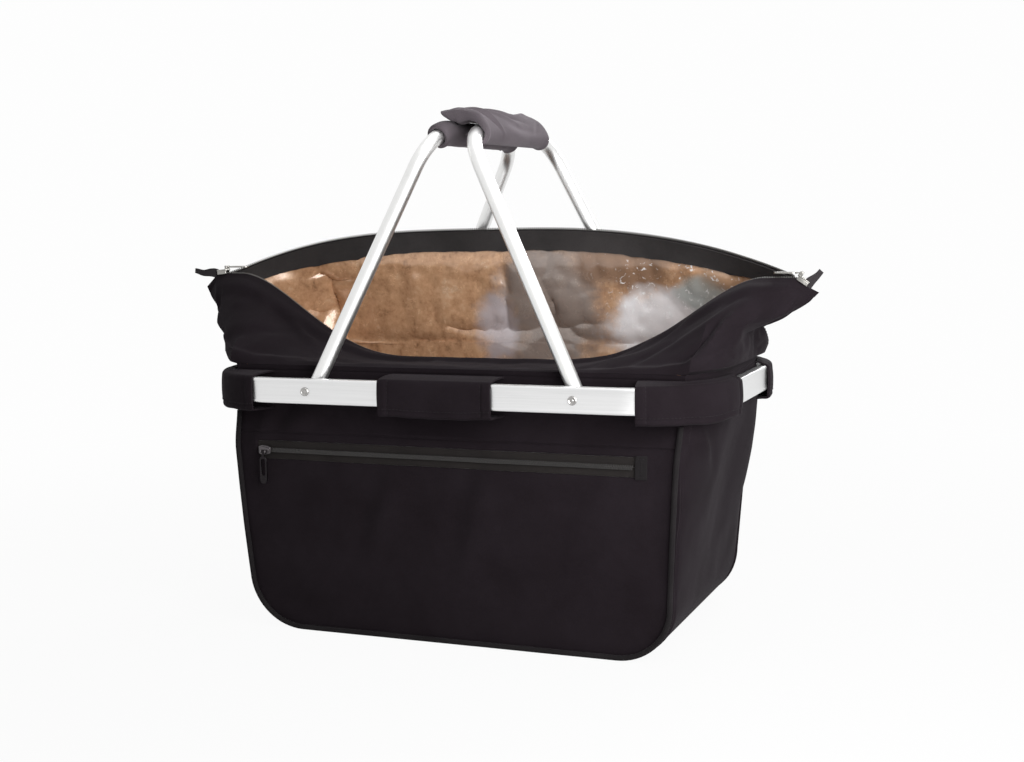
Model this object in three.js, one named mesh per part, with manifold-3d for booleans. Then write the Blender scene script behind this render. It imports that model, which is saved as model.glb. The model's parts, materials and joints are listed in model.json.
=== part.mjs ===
// Insulated shopping basket: a soft cooler bag hung in an aluminium ring, with two bail handles
// that lean together over the middle and fold out to the ends. Millimetres, +Z up, +X to the right.
// The origin is the middle of the bottom panel's underside, and the front with its zip pocket faces -Y.
import * as THREE from "three";
import { mergeVertices } from "three/addons/utils/BufferGeometryUtils.js";
import Module from "manifold-3d";

const wasm = await Module();
wasm.setup();

// Clearance between pieces that touch or are sewn together.
const GAP = 0.3;

// Aluminium ring: a shallow channel bent to a rounded rectangle.
const RING_LENGTH = 480;
const RING_DEPTH = 282;
const RING_CORNER = 80;
const RING_HEIGHT = 22;
const RING_CENTRE_Z = 222;
const CHANNEL_DEPTH = 8;
const CHANNEL_WALL = 2;
const CHANNEL_EDGE = 1.5;
const RING_JOINT = 0.3;

// Bail handles: bent round tube on rivets behind the ring's long sides.
const PIVOT_SPACING = 246;
const TUBE_DIAMETER = 13;
const TUBE_WALL = 1.5;
const TUBE_STANDOFF = 2.5;
const TUBE_FOOT = 7;
const HANDLE_TOP_Z = 443;
const HANDLE_TOP_SPACING = 32;
const LEG_CONVERGENCE = 0.105;
const TUBE_BEND_RADIUS = 37;
const RIVET_RADIUS = 2;
const RIVET_CLEARANCE = 0.15;
const RIVET_HEAD_RADIUS = 3.4;
const RIVET_HEAD_HEIGHT = 1.8;
const RIVET_TAIL_HEIGHT = 1.5;
const RIVET_TAIL_CHAMFER = 0.68;
const SPACER_RADIUS = 5;

// Padded grips on the top bars. The right one is a wrap with a flap over the left one.
const GRIP_LENGTH = 164;
const GRIP_PADDING = 4.2;
const GRIP_CLEARANCE = 0.55;
const FLAP_THICKNESS = 4.5;
const FLAP_REACH = 46;
const FLAP_CLEARANCE = 2;
const FLAP_SIDE_MARGIN = 8;
const HOOK_TAPE_WIDTH = 16;
const HOOK_TAPE_LENGTH = 100;
const HOOK_TAPE_THICKNESS = 1;
const HOOK_TAPE_MARGIN = 2;

// Bag body below the top seam. It hangs in the ring, so its ends and walls are set from the ring:
// how far in from the ring's end the panels stop at the top, how much further in they stop at the
// foot, and how far the walls swell and draw in from where they pass behind the ring.
const PANEL_SETBACK = 31;
const PANEL_TAPER = 13;
const BELLY_SWELL = 9;
const BOTTOM_DRAW_IN = 1;
const BELLY_Z = 165;
const BOTTOM_CORNER = 50;
const SEAM_RISE = 8.5;
const WALL_START_DROP = 2;
const WALL_CLEARANCE = 5.5;
const RING_FIT = 1;
const END_BULGE_POWER = 3;

// Layers of the wall, from the outside in.
const FABRIC = 1.5;
const POCKET_LINING = 0.5;
const FOAM = 4;
const LINER = 0.8;
const BASE_BOARD = 3;
const UPPER_FOAM = 2.5;

// Mouth: two soft walls that meet under a zip slider near each end and run out to a corner.
// The ends hang differently, so each has its own sizes. The closed stretch, the tip and the top of
// the front rim's climb lie a little past the ring's end, which is at half of the ring's length.
const MOUTH = {
  left: {
    side: -1,
    closedX: RING_LENGTH / 2 + 43,
    closedZ: 318,
    sliderTilt: 5,
    tipX: RING_LENGTH / 2 + 70,
    tipZ: 305,
    frontFlat: 75,
    frontTop: RING_LENGTH / 2 + 28,
    frontPower: 1.3,
    backPower: 4.3,
  },
  right: {
    side: 1,
    closedX: RING_LENGTH / 2 + 35.5,
    closedZ: 314.5,
    sliderTilt: 35,
    tipX: RING_LENGTH / 2 + 56,
    tipZ: 302,
    frontFlat: 60,
    frontTop: RING_LENGTH / 2 + 10,
    frontPower: 1.5,
    backPower: 2.2,
  },
};
const BACK_RIM_Z = 356;
const BACK_RIM_SETBACK = 18.5;
const BACK_RIM_ROUNDING = 0.7;
const FRONT_RIM_Z = 242;
const FRONT_RIM_Y = 21;
const FRONT_CREST = 8;
const SHOULDER_ALONG = 0.25;
const FRONT_SHOULDER = { lean: 0.25, rise: 0.42 };
const BACK_SHOULDER = { lean: 0.12, rise: 0.52 };
const CLOSED_RUN = 14;
const RIM_SPREAD = 1.06;
const RIM_BAND_SHARE = 0.2;
const SEAM_SHARE = 0.02;
const LINING_SHARE = 0.06;
const RIM_BAND_THICKNESS = 1.2;
const ZIP_TEETH_WIDTH = 2.6;
const ZIP_TEETH_THICKNESS = 1.4;

// Fabric loops that hold the ring.
const LOOP_FABRIC = 1.4;
const LOOP_EDGE_ROUNDING = 1.12;
const LOOP_SLACK = 0.6;
const LOOP_DROP = 7;
const LOOP_FOOT_DROP = 20;
const LOOP_SEWING_GAP = 0.6;
const MIDDLE_LOOP_LENGTH = 104;
const CORNER_LOOP_START = 175.5;
const CORNER_LOOP_END = 52.8;

// Piping, front pocket zip and zip sliders.
const PIPING_RADIUS = 2.25;
const PIPING_FLOOR_CLEARANCE = 0.1;
const PIPING_END_DROP = 5;
const POCKET_ZIP = { leftMargin: 25, rightMargin: 40, bottom: 157, top: 174 };
const POCKET_ZIP_TAPE = 1;
const POCKET_TEETH_WIDTH = 4;
const POCKET_TEETH_THICKNESS = 1.4;
const POCKET_TEETH_MARGIN = 1;
const POCKET_LINING_MARGIN = 29;
const POCKET_LINING_DROP = 4;
const POCKET_PATCH = { length: 10, thickness: 0.8, overlap: 1 };
const SLIDER = { start: 1.5, length: 12, width: 9, height: 2.7, pivotDrop: 1 };
const PULL = { length: 29, width: 7, thickness: 1.5, neck: 2.6, eye: 1.2 };
const MOUTH_SLIDER = { length: 12, width: 9, height: 4.8, roof: 1.4 };
const MOUTH_PULL = { length: 24, width: 7, thickness: 1.5, neck: 2.6, eye: 1.2 };
const MOUTH_PULL_CLEARANCE = 1;
const PULL_NECK_LENGTH = 4;
const PULL_SHOULDER = 7;
const PULL_CHAMFER = 2;
const SLIDER_EAR = { thickness: 1.3, length: 2.6, root: 0.5 };
const END_TAB = {
  left: { length: 25, lift: 12 },
  right: { length: 17, lift: 48 },
  start: 3,
  width: 7,
  foot: 6,
  thickness: 3,
  rounding: 1.4,
};

// Facets.
const TUBE_SIDES = 12;
const BEND_STEPS = 6;
const CORNER_STEPS = 6;
const CORNER_LOOP_STEPS = 4;
const PROFILE_ARC_STEPS = 5;
const END_STEPS = 8;
const UPPER_END_COLUMNS = 3;
const UPPER_FRONT_STEPS = 12;
const BAND_START = 1 - RIM_BAND_SHARE;
const UPPER_LEVELS = [LINING_SHARE, 0.2, 0.4, 0.6, BAND_START, BAND_START + SEAM_SHARE];
const NECK_LEVELS = [0.35, 0.7];
const SLOPE_STEP = 0.01;
const CUT_MARGIN = 1;
const SLOT_CUT_REACH = 20;
const BISECTIONS = 40;

// Sizes that follow from the ones above.
const ringHalfLength = RING_LENGTH / 2;
const ringHalfDepth = RING_DEPTH / 2;
const ringTop = RING_CENTRE_Z + RING_HEIGHT / 2;
const ringBottom = RING_CENTRE_Z - RING_HEIGHT / 2;
const tubeRadius = TUBE_DIAMETER / 2;
const pivotX = PIVOT_SPACING / 2;
const legY = ringHalfDepth - CHANNEL_DEPTH - TUBE_STANDOFF - tubeRadius;
const seamZ = ringTop + SEAM_RISE;
const wallHalfDepth = legY - tubeRadius - RIVET_TAIL_HEIGHT - WALL_CLEARANCE;
const wallStartZ = ringBottom - WALL_START_DROP;
const bottomHalfDepth = wallHalfDepth - BOTTOM_DRAW_IN;
const bellyHalfDepth = wallHalfDepth + BELLY_SWELL;
const panelTopHalf = ringHalfLength - PANEL_SETBACK;
const panelFootHalf = panelTopHalf - PANEL_TAPER;
const bodyEndX = ringHalfLength - CHANNEL_DEPTH - RING_FIT;
const bottomHalfLength = pipingX(BOTTOM_CORNER) - BOTTOM_CORNER;
const backRimY = wallHalfDepth - BACK_RIM_SETBACK;
const gripRadius = tubeRadius + GAP + GRIP_PADDING;
const gripBore = tubeRadius + GRIP_CLEARANCE;
const pocketLeft = POCKET_ZIP.leftMargin - panelTopHalf;
const pocketRight = panelTopHalf - POCKET_ZIP.rightMargin;
const foamStart = FABRIC + GAP;
const linerStart = foamStart + FOAM + GAP;
const linerFloorZ = FABRIC + GAP + BASE_BOARD + GAP + FOAM + GAP;
const upperFoamStart = FABRIC + GAP;
const upperLinerStart = upperFoamStart + UPPER_FOAM + GAP;
const frontPanelTop = seamZ - FABRIC - GAP;
const innerTop = seamZ - upperLinerStart - LINER - GAP;

// Materials.
const fabric = material(0x1e1a1c, 0.85, 0);
const fabricTrim = material(0x171415, 0.8, 0);
const gripFabric = material(0x4a4447, 0.8, 0);
const aluminium = material(0xd6d7d8, 0.35, 1);
const nickel = material(0xc8c8c6, 0.25, 1);
const zipTape = material(0x24242a, 0.9, 0);
const zipPlastic = material(0x2b2b2e, 0.5, 0);
const foamGrey = material(0x9a9a98, 0.95, 0);
const foil = material(0x9c8a7c, 0.25, 0.8);
const boardPlastic = material(0x4a4a4a, 0.6, 0);
const nylon = material(0xcfcfca, 0.5, 0);

function material(color, roughness, metalness) {
  return new THREE.MeshStandardMaterial({ color, roughness, metalness });
}

function lerp(a, b, t) {
  return a + (b - a) * t;
}

function clamp01(t) {
  return Math.min(1, Math.max(0, t));
}

function smooth(t) {
  return t * t * (3 - 2 * t);
}

function range(count) {
  return Array.from({ length: count }, (_, i) => i);
}

function vec(x, y, z) {
  return new THREE.Vector3(x, y, z);
}

// Closed meshes.

// A geometry from points and triangles, turned to face outwards.
function closedGeometry(points, triangles) {
  const sixVolume = triangles.reduce(
    (sum, [a, b, c]) => sum + points[a].dot(vec(0, 0, 0).crossVectors(points[b], points[c])),
    0,
  );
  const turned = triangles.flatMap(([a, b, c]) => (sixVolume > 0 ? [a, b, c] : [a, c, b]));
  const geometry = new THREE.BufferGeometry();
  const flat = points.flatMap((p) => [p.x, p.y, p.z]);
  geometry.setAttribute("position", new THREE.Float32BufferAttribute(flat, 3));
  geometry.setIndex(turned);
  return geometry;
}

// A sheet between two grids of points, grid[row][column], closed along its four edges.
function sheetSolid(outer, inner) {
  const rows = outer.length;
  const columns = outer[0].length;
  const points = [...outer.flat(), ...inner.flat()];
  const at = (side, row, column) => (side * rows + row) * columns + column;
  const triangles = [];
  const quad = (a, b, c, d) => triangles.push([a, b, c], [a, c, d]);
  for (const r of range(rows - 1))
    for (const c of range(columns - 1)) {
      quad(at(0, r, c), at(0, r, c + 1), at(0, r + 1, c + 1), at(0, r + 1, c));
      quad(at(1, r, c), at(1, r + 1, c), at(1, r + 1, c + 1), at(1, r, c + 1));
    }
  const top = rows - 1;
  for (const c of range(columns - 1)) {
    quad(at(0, 0, c), at(1, 0, c), at(1, 0, c + 1), at(0, 0, c + 1));
    quad(at(0, top, c), at(0, top, c + 1), at(1, top, c + 1), at(1, top, c));
  }
  const end = columns - 1;
  for (const r of range(rows - 1)) {
    quad(at(0, r, 0), at(0, r + 1, 0), at(1, r + 1, 0), at(1, r, 0));
    quad(at(0, r, end), at(1, r, end), at(1, r + 1, end), at(0, r + 1, end));
  }
  return closedGeometry(points, triangles);
}

// A solid through a run of like sections. A run that doesn't close on itself is capped,
// and outline is the section's flat shape, from which the caps are cut.
function loftSolid(sections, outline) {
  const count = sections[0].length;
  const triangles = [];
  const spans = outline ? sections.length - 1 : sections.length;
  for (const s of range(spans))
    for (const k of range(count)) {
      const next = ((s + 1) % sections.length) * count;
      const here = s * count;
      const k2 = (k + 1) % count;
      triangles.push([here + k, here + k2, next + k2], [here + k, next + k2, next + k]);
    }
  if (outline) {
    const turn = Math.sign(THREE.ShapeUtils.area(outline));
    const last = (sections.length - 1) * count;
    for (const face of THREE.ShapeUtils.triangulateShape(outline, [])) {
      const sameWay = Math.sign(THREE.ShapeUtils.area(face.map((i) => outline[i]))) === turn;
      const [a, b, c] = sameWay ? face : [face[0], face[2], face[1]];
      triangles.push([a, c, b], [last + a, last + b, last + c]);
    }
  }
  return closedGeometry(sections.flat(), triangles);
}

function circleOutline(radius, sides) {
  return range(sides).map((i) => {
    const angle = (2 * Math.PI * (i + 0.5)) / sides;
    return new THREE.Vector2(radius * Math.cos(angle), radius * Math.sin(angle));
  });
}

function toSolid(geometry) {
  const bare = geometry.clone();
  bare.deleteAttribute("normal");
  bare.deleteAttribute("uv");
  const merged = mergeVertices(bare, 1e-3);
  return new wasm.Manifold(
    new wasm.Mesh({
      numProp: 3,
      vertProperties: new Float32Array(merged.attributes.position.array),
      triVerts: new Uint32Array(merged.index.array),
    }),
  );
}

function toGeometry(solid) {
  const made = solid.getMesh();
  const geometry = new THREE.BufferGeometry();
  geometry.setAttribute("position", new THREE.BufferAttribute(made.vertProperties, 3));
  geometry.setIndex(new THREE.BufferAttribute(made.triVerts, 1));
  return geometry;
}

function cut(geometry, ...cutters) {
  return toGeometry(cutters.reduce((left, c) => left.subtract(toSolid(c)), toSolid(geometry)));
}

function join(first, ...others) {
  return toGeometry(others.reduce((made, o) => made.add(toSolid(o)), toSolid(first)));
}

function box(x0, x1, y0, y1, z0, z1) {
  return new THREE.BoxGeometry(x1 - x0, y1 - y0, z1 - z0).translate(
    (x0 + x1) / 2,
    (y0 + y1) / 2,
    (z0 + z1) / 2,
  );
}

// A round bar along Y between two places.
function barY(radius, x, z, y0, y1, sides = TUBE_SIDES) {
  return new THREE.CylinderGeometry(radius, radius, Math.abs(y1 - y0), sides).translate(
    x,
    (y0 + y1) / 2,
    z,
  );
}

// Shape of the bag body.

// Half length of the front and back panels, at the piping, without the rounded bottom corner.
function pipingX(z) {
  return lerp(panelFootHalf, panelTopHalf, clamp01(z / wallStartZ));
}

// Levels above the rounded bottom. The walls run straight from one to the next.
const upperLevels = [
  lerp(BOTTOM_CORNER, BELLY_Z, 1 / 3),
  lerp(BOTTOM_CORNER, BELLY_Z, 2 / 3),
  BELLY_Z,
  ...NECK_LEVELS.map((share) => lerp(BELLY_Z, wallStartZ, share)),
  wallStartZ,
];

function betweenLevels(curve, z) {
  const levels = [BOTTOM_CORNER, ...upperLevels];
  const above = levels.findIndex((level) => level > z);
  if (above < 1) return curve(z);
  const [low, high] = [levels[above - 1], levels[above]];
  return lerp(curve(low), curve(high), (z - low) / (high - low));
}

// Half depth of the body at a height: it swells to the belly and draws in behind the ring.
function halfDepth(height) {
  return betweenLevels((z) => {
    if (z <= BELLY_Z)
      return lerp(bottomHalfDepth, bellyHalfDepth, Math.sin((Math.PI / 2) * clamp01(z / BELLY_Z)));
    const t = clamp01((z - BELLY_Z) / (wallStartZ - BELLY_Z));
    return lerp(bellyHalfDepth, wallHalfDepth, smooth(t));
  }, height);
}

// How far the side panel swells past the piping at mid depth.
function endBulge(height) {
  return betweenLevels((z) => {
    const t = clamp01((z - BOTTOM_CORNER / 2) / (wallStartZ - BOTTOM_CORNER / 2));
    return (bodyEndX - panelTopHalf) * t * t;
  }, height);
}

function bulgeAt(share) {
  return 1 - Math.abs(share) ** END_BULGE_POWER;
}

// The side profile in the XZ plane, from the flat bottom round the corner and up: {x, z} rows.
// inset moves it inwards, and floor lifts the flat bottom.
function profileRows(inset, floor, topZ) {
  const radius = BOTTOM_CORNER - inset;
  const arc = range(PROFILE_ARC_STEPS + 1).map((i) => {
    const angle = ((Math.PI / 2) * i) / PROFILE_ARC_STEPS;
    return {
      x: bottomHalfLength + radius * Math.sin(angle),
      z: floor + radius * (1 - Math.cos(angle)),
    };
  });
  const above = [...upperLevels, topZ].map((z) => ({ x: pipingX(z) - inset, z }));
  return [...arc, ...above];
}

// A front or back wall layer between two insets. side is -1 for the front and 1 for the back.
function longWall(side, from, to, outlineInset, topZ = seamZ) {
  const rows = profileRows(outlineInset, outlineInset, topZ);
  const columns = [-1, -0.5, 0, 0.5, 1];
  const grid = (inset) =>
    rows.map(({ x, z }) => columns.map((c) => vec(c * x, side * (halfDepth(z) - inset), z)));
  return sheetSolid(grid(from), grid(to));
}

// A side wall layer between two insets. side is -1 for the left and 1 for the right.
function endWall(side, from, to, depthInset, topZ = seamZ) {
  const grid = (inset) =>
    profileRows(inset, inset, topZ).map(({ x, z }) => {
      const reach = halfDepth(z) - depthInset;
      return range(END_STEPS + 1).map((i) => {
        const share = side * ((2 * i) / END_STEPS - 1);
        return vec(side * (x + endBulge(z) * bulgeAt(share)), share * reach, z);
      });
    });
  return sheetSolid(grid(from), grid(to));
}

// The closed plan outline of the body at one profile row.
function planLoop({ x, z }, depthInset) {
  const reach = halfDepth(z) - depthInset;
  const end = (side) =>
    range(END_STEPS + 1).map((i) => {
      const share = side * ((2 * i) / END_STEPS - 1);
      return vec(side * (x + endBulge(z) * bulgeAt(share)), share * reach, z);
    });
  return [...end(1), ...end(-1)];
}

// The foil liner of the lower body: an open tub.
function linerTub() {
  const shell = (inset, floor, topZ) => {
    const loops = profileRows(inset, floor, topZ).map((row) => planLoop(row, inset));
    return loftSolid(loops, loops[0].map((p) => new THREE.Vector2(p.x, p.y)));
  };
  return cut(
    shell(linerStart, linerFloorZ, innerTop),
    shell(linerStart + LINER, linerFloorZ + LINER, innerTop + CUT_MARGIN),
  );
}

// Shape of the mouth.

// A point on a rim where the mouth is open. side is -1 for the front rim and 1 for the back.
function openRim(side, x) {
  const end = x < 0 ? MOUTH.left : MOUTH.right;
  const share = clamp01(Math.abs(x) / end.closedX);
  const closedY = FABRIC + GAP / 2;
  if (side > 0) {
    const round = (1 - share ** 2) ** BACK_RIM_ROUNDING;
    const drop = share ** end.backPower;
    return vec(x, lerp(closedY, backRimY, round), lerp(BACK_RIM_Z, end.closedZ, drop));
  }
  const climb = clamp01((Math.abs(x) - end.frontFlat) / (end.frontTop - end.frontFlat));
  const rise = smooth(climb ** end.frontPower);
  return vec(x, -lerp(FRONT_RIM_Y, closedY, share ** 2), lerp(FRONT_RIM_Z, end.closedZ, rise));
}

// A place on the closed stretch, from its inner end outwards and up from the rim line.
function onClosedZip({ side, closedX, closedZ, sliderTilt }, out, up) {
  const tilt = THREE.MathUtils.degToRad(sliderTilt);
  return vec(
    side * (closedX + out * Math.cos(tilt) + up * Math.sin(tilt)),
    0,
    closedZ - out * Math.sin(tilt) + up * Math.cos(tilt),
  );
}

// The rim stations of one end, from its corner inwards to the middle wall.
function endRim(side, end) {
  const closedY = (side * GAP) / 2 + side * FABRIC;
  const sliderEnd = onClosedZip(end, CLOSED_RUN, 0).setY(closedY);
  const closed = onClosedZip(end, 0, 0).setY(closedY);
  const nextX = (end.closedX + panelTopHalf * RIM_SPREAD) / 2;
  const tip = vec(end.side * end.tipX, (side * GAP) / 2, end.tipZ);
  return [tip, sliderEnd, closed, openRim(side, end.side * nextX)];
}

// Columns of an upper wall, from the right end's middle round to the left end's middle:
// where each starts on the seam and where it ends on the rim.
function upperColumns(side) {
  const bulge = bodyEndX - panelTopHalf;
  const endColumns = (end) =>
    endRim(side, end).map((stop, i, stops) => {
      const share = i / stops.length;
      const x = end.side * (panelTopHalf + bulge * bulgeAt(share));
      return { start: vec(x, side * Math.max(GAP / 2, share * wallHalfDepth), seamZ), stop };
    });
  const middle = range(UPPER_FRONT_STEPS + 1).map((i) => {
    const x = lerp(panelTopHalf, -panelTopHalf, i / UPPER_FRONT_STEPS);
    return { start: vec(x, side * wallHalfDepth, seamZ), stop: openRim(side, x * RIM_SPREAD) };
  });
  return [...endColumns(MOUTH.right), ...middle, ...endColumns(MOUTH.left).reverse()];
}

// The middle control point of a column: the front lies over like a shelf, the back stands up.
function upperShoulder({ start, stop }, side) {
  const { lean, rise } = side < 0 ? FRONT_SHOULDER : BACK_SHOULDER;
  const height = side < 0 ? FRONT_CREST + rise * (stop.z - FRONT_RIM_Z) : rise * (stop.z - seamZ);
  return vec(
    lerp(start.x, stop.x, SHOULDER_ALONG),
    lerp(start.y, stop.y, lean),
    start.z + height,
  );
}

function bezier(a, m, b, t) {
  return vec(
    (1 - t) ** 2 * a.x + 2 * t * (1 - t) * m.x + t * t * b.x,
    (1 - t) ** 2 * a.y + 2 * t * (1 - t) * m.y + t * t * b.y,
    (1 - t) ** 2 * a.z + 2 * t * (1 - t) * m.z + t * t * b.z,
  );
}

// A grid of points on an upper wall, inset along its own normal, at shares of its height.
// Points stay on their own side of the middle plane, where the two walls are sewn together.
function upperGrid(side, inset, shares, edgeColumns, lift = 0) {
  const columns = upperColumns(side).map((column) => ({
    ...column,
    shoulder: upperShoulder(column, side),
  }));
  const point = (c, t) => bezier(columns[c].start, columns[c].shoulder, columns[c].stop, t);
  const last = columns.length - 1;
  const place = (c, t) => {
    const here = point(c, t);
    const along = point(Math.min(last, c + 1), t).sub(point(Math.max(0, c - 1), t));
    const up = point(c, t + SLOPE_STEP).sub(point(c, t - SLOPE_STEP)).normalize();
    const inward = vec(0, 0, 0).crossVectors(along, up).normalize().multiplyScalar(-side);
    const placed = here.addScaledVector(inward, inset).addScaledVector(up, lift);
    if (side * placed.y < GAP / 2) placed.y = (side * GAP) / 2;
    return placed;
  };
  return shares.map((t) =>
    range(columns.length - 2 * edgeColumns).map((c) => place(c + edgeColumns, t)),
  );
}

function upperWall(side, from, to, fromShare, toShare, edgeColumns) {
  const apart = SEAM_SHARE / 2;
  const between = UPPER_LEVELS.filter((t) => t > fromShare + apart && t < toShare - apart);
  const shares = [fromShare, ...between, toShare];
  return sheetSolid(
    upperGrid(side, from, shares, edgeColumns),
    upperGrid(side, to, shares, edgeColumns),
  );
}

// The row of zip teeth that stands on a rim.
function rimTeeth(side) {
  const inset = (FABRIC - ZIP_TEETH_THICKNESS) / 2;
  const strip = (depth) =>
    [GAP, GAP + ZIP_TEETH_WIDTH].map((lift) => upperGrid(side, depth, [1], 1, lift)[0]);
  return sheetSolid(strip(inset), strip(inset + ZIP_TEETH_THICKNESS));
}

// The ring and its loops.

// Stations round the ring's outer face, each with its outward normal.
function ringStations() {
  const cornerX = ringHalfLength - RING_CORNER;
  const cornerY = ringHalfDepth - RING_CORNER;
  const corners = [
    [cornerX, -cornerY, -90],
    [cornerX, cornerY, 0],
    [-cornerX, cornerY, 90],
    [-cornerX, -cornerY, 180],
  ];
  return corners.flatMap(([x, y, from]) =>
    range(CORNER_STEPS + 1).map((i) => {
      const angle = ((from + (90 * i) / CORNER_STEPS) * Math.PI) / 180;
      const normal = new THREE.Vector2(Math.cos(angle), Math.sin(angle));
      return {
        x: x + RING_CORNER * normal.x,
        y: y + RING_CORNER * normal.y,
        nx: normal.x,
        ny: normal.y,
      };
    }),
  );
}

// A section point (outward offset from the ring's face, height from the ring's middle) in space.
function onRing(station, [offset, rise]) {
  return vec(
    station.x + offset * station.nx,
    station.y + offset * station.ny,
    RING_CENTRE_Z + rise,
  );
}

function frameRing() {
  const h = RING_HEIGHT / 2;
  const section = [
    [-CHANNEL_DEPTH, -h],
    [-CHANNEL_EDGE, -h],
    [0, -h + CHANNEL_EDGE],
    [0, h - CHANNEL_EDGE],
    [-CHANNEL_EDGE, h],
    [-CHANNEL_DEPTH, h],
    [-CHANNEL_DEPTH, h - CHANNEL_WALL],
    [-CHANNEL_WALL, h - CHANNEL_WALL],
    [-CHANNEL_WALL, -h + CHANNEL_WALL],
    [-CHANNEL_DEPTH, -h + CHANNEL_WALL],
  ];
  const ring = loftSolid(ringStations().map((s) => section.map((p) => onRing(s, p))));
  const holes = [-1, 1].flatMap((sx) =>
    [-1, 1].map((sy) =>
      barY(
        RIVET_RADIUS + RIVET_CLEARANCE,
        sx * pivotX,
        RING_CENTRE_Z,
        sy * (ringHalfDepth + CUT_MARGIN),
        sy * (ringHalfDepth - CHANNEL_WALL - CUT_MARGIN),
      ),
    ),
  );
  const spliceHoles = [-1, 1].map((sx) =>
    barY(
      SPLICE.rivetRadius + RIVET_CLEARANCE,
      sx * SPLICE.rivetX,
      RING_CENTRE_Z,
      ringHalfDepth + CUT_MARGIN,
      ringHalfDepth - CHANNEL_WALL - CUT_MARGIN,
    ),
  );
  const joint = box(
    -RING_JOINT / 2,
    RING_JOINT / 2,
    ringHalfDepth - CHANNEL_DEPTH - CUT_MARGIN,
    ringHalfDepth + CUT_MARGIN,
    ringBottom - CUT_MARGIN,
    ringTop + CUT_MARGIN,
  );
  return cut(ring, ...holes, ...spliceHoles, joint);
}

// The plate that closes the bent ring, inside the channel under the back loop.
const SPLICE = { halfLength: 32, thickness: 2, rivetX: 18, rivetRadius: 1.6 };
const SPLICE_HEAD = { radius: 2.8, topRadius: 1.96, start: 0.1, height: 0.3, tail: 1 };
const spliceOuterY = ringHalfDepth - CHANNEL_WALL - GAP;

function splicePlate() {
  const halfHeight = RING_HEIGHT / 2 - CHANNEL_WALL - GAP;
  const plate = box(
    -SPLICE.halfLength,
    SPLICE.halfLength,
    spliceOuterY - SPLICE.thickness,
    spliceOuterY,
    RING_CENTRE_Z - halfHeight,
    RING_CENTRE_Z + halfHeight,
  );
  const holes = [-1, 1].map((sx) =>
    barY(
      SPLICE.rivetRadius + RIVET_CLEARANCE,
      sx * SPLICE.rivetX,
      RING_CENTRE_Z,
      spliceOuterY - SPLICE.thickness - CUT_MARGIN,
      spliceOuterY + CUT_MARGIN,
    ),
  );
  return cut(plate, ...holes);
}

// A rivet along Y as a turned profile of [radius, y] steps. side -1 has its head to the front.
function rivet(x, side, steps) {
  const profile = steps.map(([radius, y]) => new THREE.Vector2(radius, y));
  const turned = new THREE.LatheGeometry(profile, TUBE_SIDES);
  turned.rotateY(Math.PI / TUBE_SIDES);
  if (side < 0) turned.rotateX(Math.PI);
  turned.translate(x, 0, RING_CENTRE_Z);
  return faceOutwards(turned);
}

function faceOutwards(geometry) {
  const bare = geometry.clone();
  bare.deleteAttribute("normal");
  bare.deleteAttribute("uv");
  const merged = mergeVertices(bare, 1e-3);
  const p = merged.attributes.position;
  const points = range(p.count).map((i) => vec(p.getX(i), p.getY(i), p.getZ(i)));
  const index = merged.index.array;
  const triangles = range(index.length / 3)
    .map((i) => [index[3 * i], index[3 * i + 1], index[3 * i + 2]])
    .filter(([a, b, c]) => a !== b && b !== c && c !== a);
  return closedGeometry(points, triangles);
}

function spliceRivet(sx) {
  const { radius, topRadius, start, height, tail } = SPLICE_HEAD;
  const inner = spliceOuterY - SPLICE.thickness - GAP;
  const outer = ringHalfDepth + start;
  return rivet(sx * SPLICE.rivetX, 1, [
    [0, inner - tail],
    [radius, inner - tail],
    [radius, inner],
    [SPLICE.rivetRadius, inner],
    [SPLICE.rivetRadius, outer],
    [radius, outer],
    [topRadius, outer + height],
    [0, outer + height],
  ]);
}

// The dome of a rivet's head: shares of its radius and height.
const RIVET_DOME = [
  [1, 0],
  [0.87, 0.5],
  [0.5, 0.88],
  [0, 1],
];

function pivotRivet(sx, sy) {
  const face = ringHalfDepth + RIVET_CLEARANCE;
  const tail = legY - tubeRadius - LEG_CONVERGENCE * RIVET_HEAD_RADIUS - RIVET_CLEARANCE;
  return rivet(sx * pivotX, sy, [
    [0, tail - RIVET_TAIL_HEIGHT],
    [RIVET_HEAD_RADIUS - RIVET_TAIL_CHAMFER, tail - RIVET_TAIL_HEIGHT],
    [RIVET_HEAD_RADIUS, tail - RIVET_TAIL_HEIGHT / 2],
    [RIVET_HEAD_RADIUS, tail],
    [RIVET_RADIUS, tail],
    [RIVET_RADIUS, face],
    ...RIVET_DOME.map(([out, up]) => [RIVET_HEAD_RADIUS * out, face + RIVET_HEAD_HEIGHT * up]),
  ]);
}

// The nylon spacer between the ring's web and the tube.
function pivotSpacer(sx, sy) {
  const outer = sy * (ringHalfDepth - CHANNEL_WALL - GAP);
  const inner = sy * (legY + tubeRadius + LEG_CONVERGENCE * SPACER_RADIUS + GAP);
  const ring = barY(SPACER_RADIUS, sx * pivotX, RING_CENTRE_Z, inner, outer);
  const bore = barY(
    RIVET_RADIUS + RIVET_CLEARANCE,
    sx * pivotX,
    RING_CENTRE_Z,
    inner - sy,
    outer + sy,
  );
  return cut(ring, bore);
}

function insideBody(x, y, z) {
  const share = Math.abs(y) / halfDepth(z);
  return share <= 1 && Math.abs(x) <= pipingX(z) + endBulge(z) * bulgeAt(share);
}

// How far inwards the body's wall lies from the ring's face at a station and a height.
function wallReach(station, z) {
  let outside = 0;
  let inside = ringHalfDepth;
  for (let i = 0; i < BISECTIONS; i++) {
    const middle = (outside + inside) / 2;
    const x = station.x - middle * station.nx;
    if (insideBody(x, station.y - middle * station.ny, z)) inside = middle;
    else outside = middle;
  }
  return outside;
}

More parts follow.
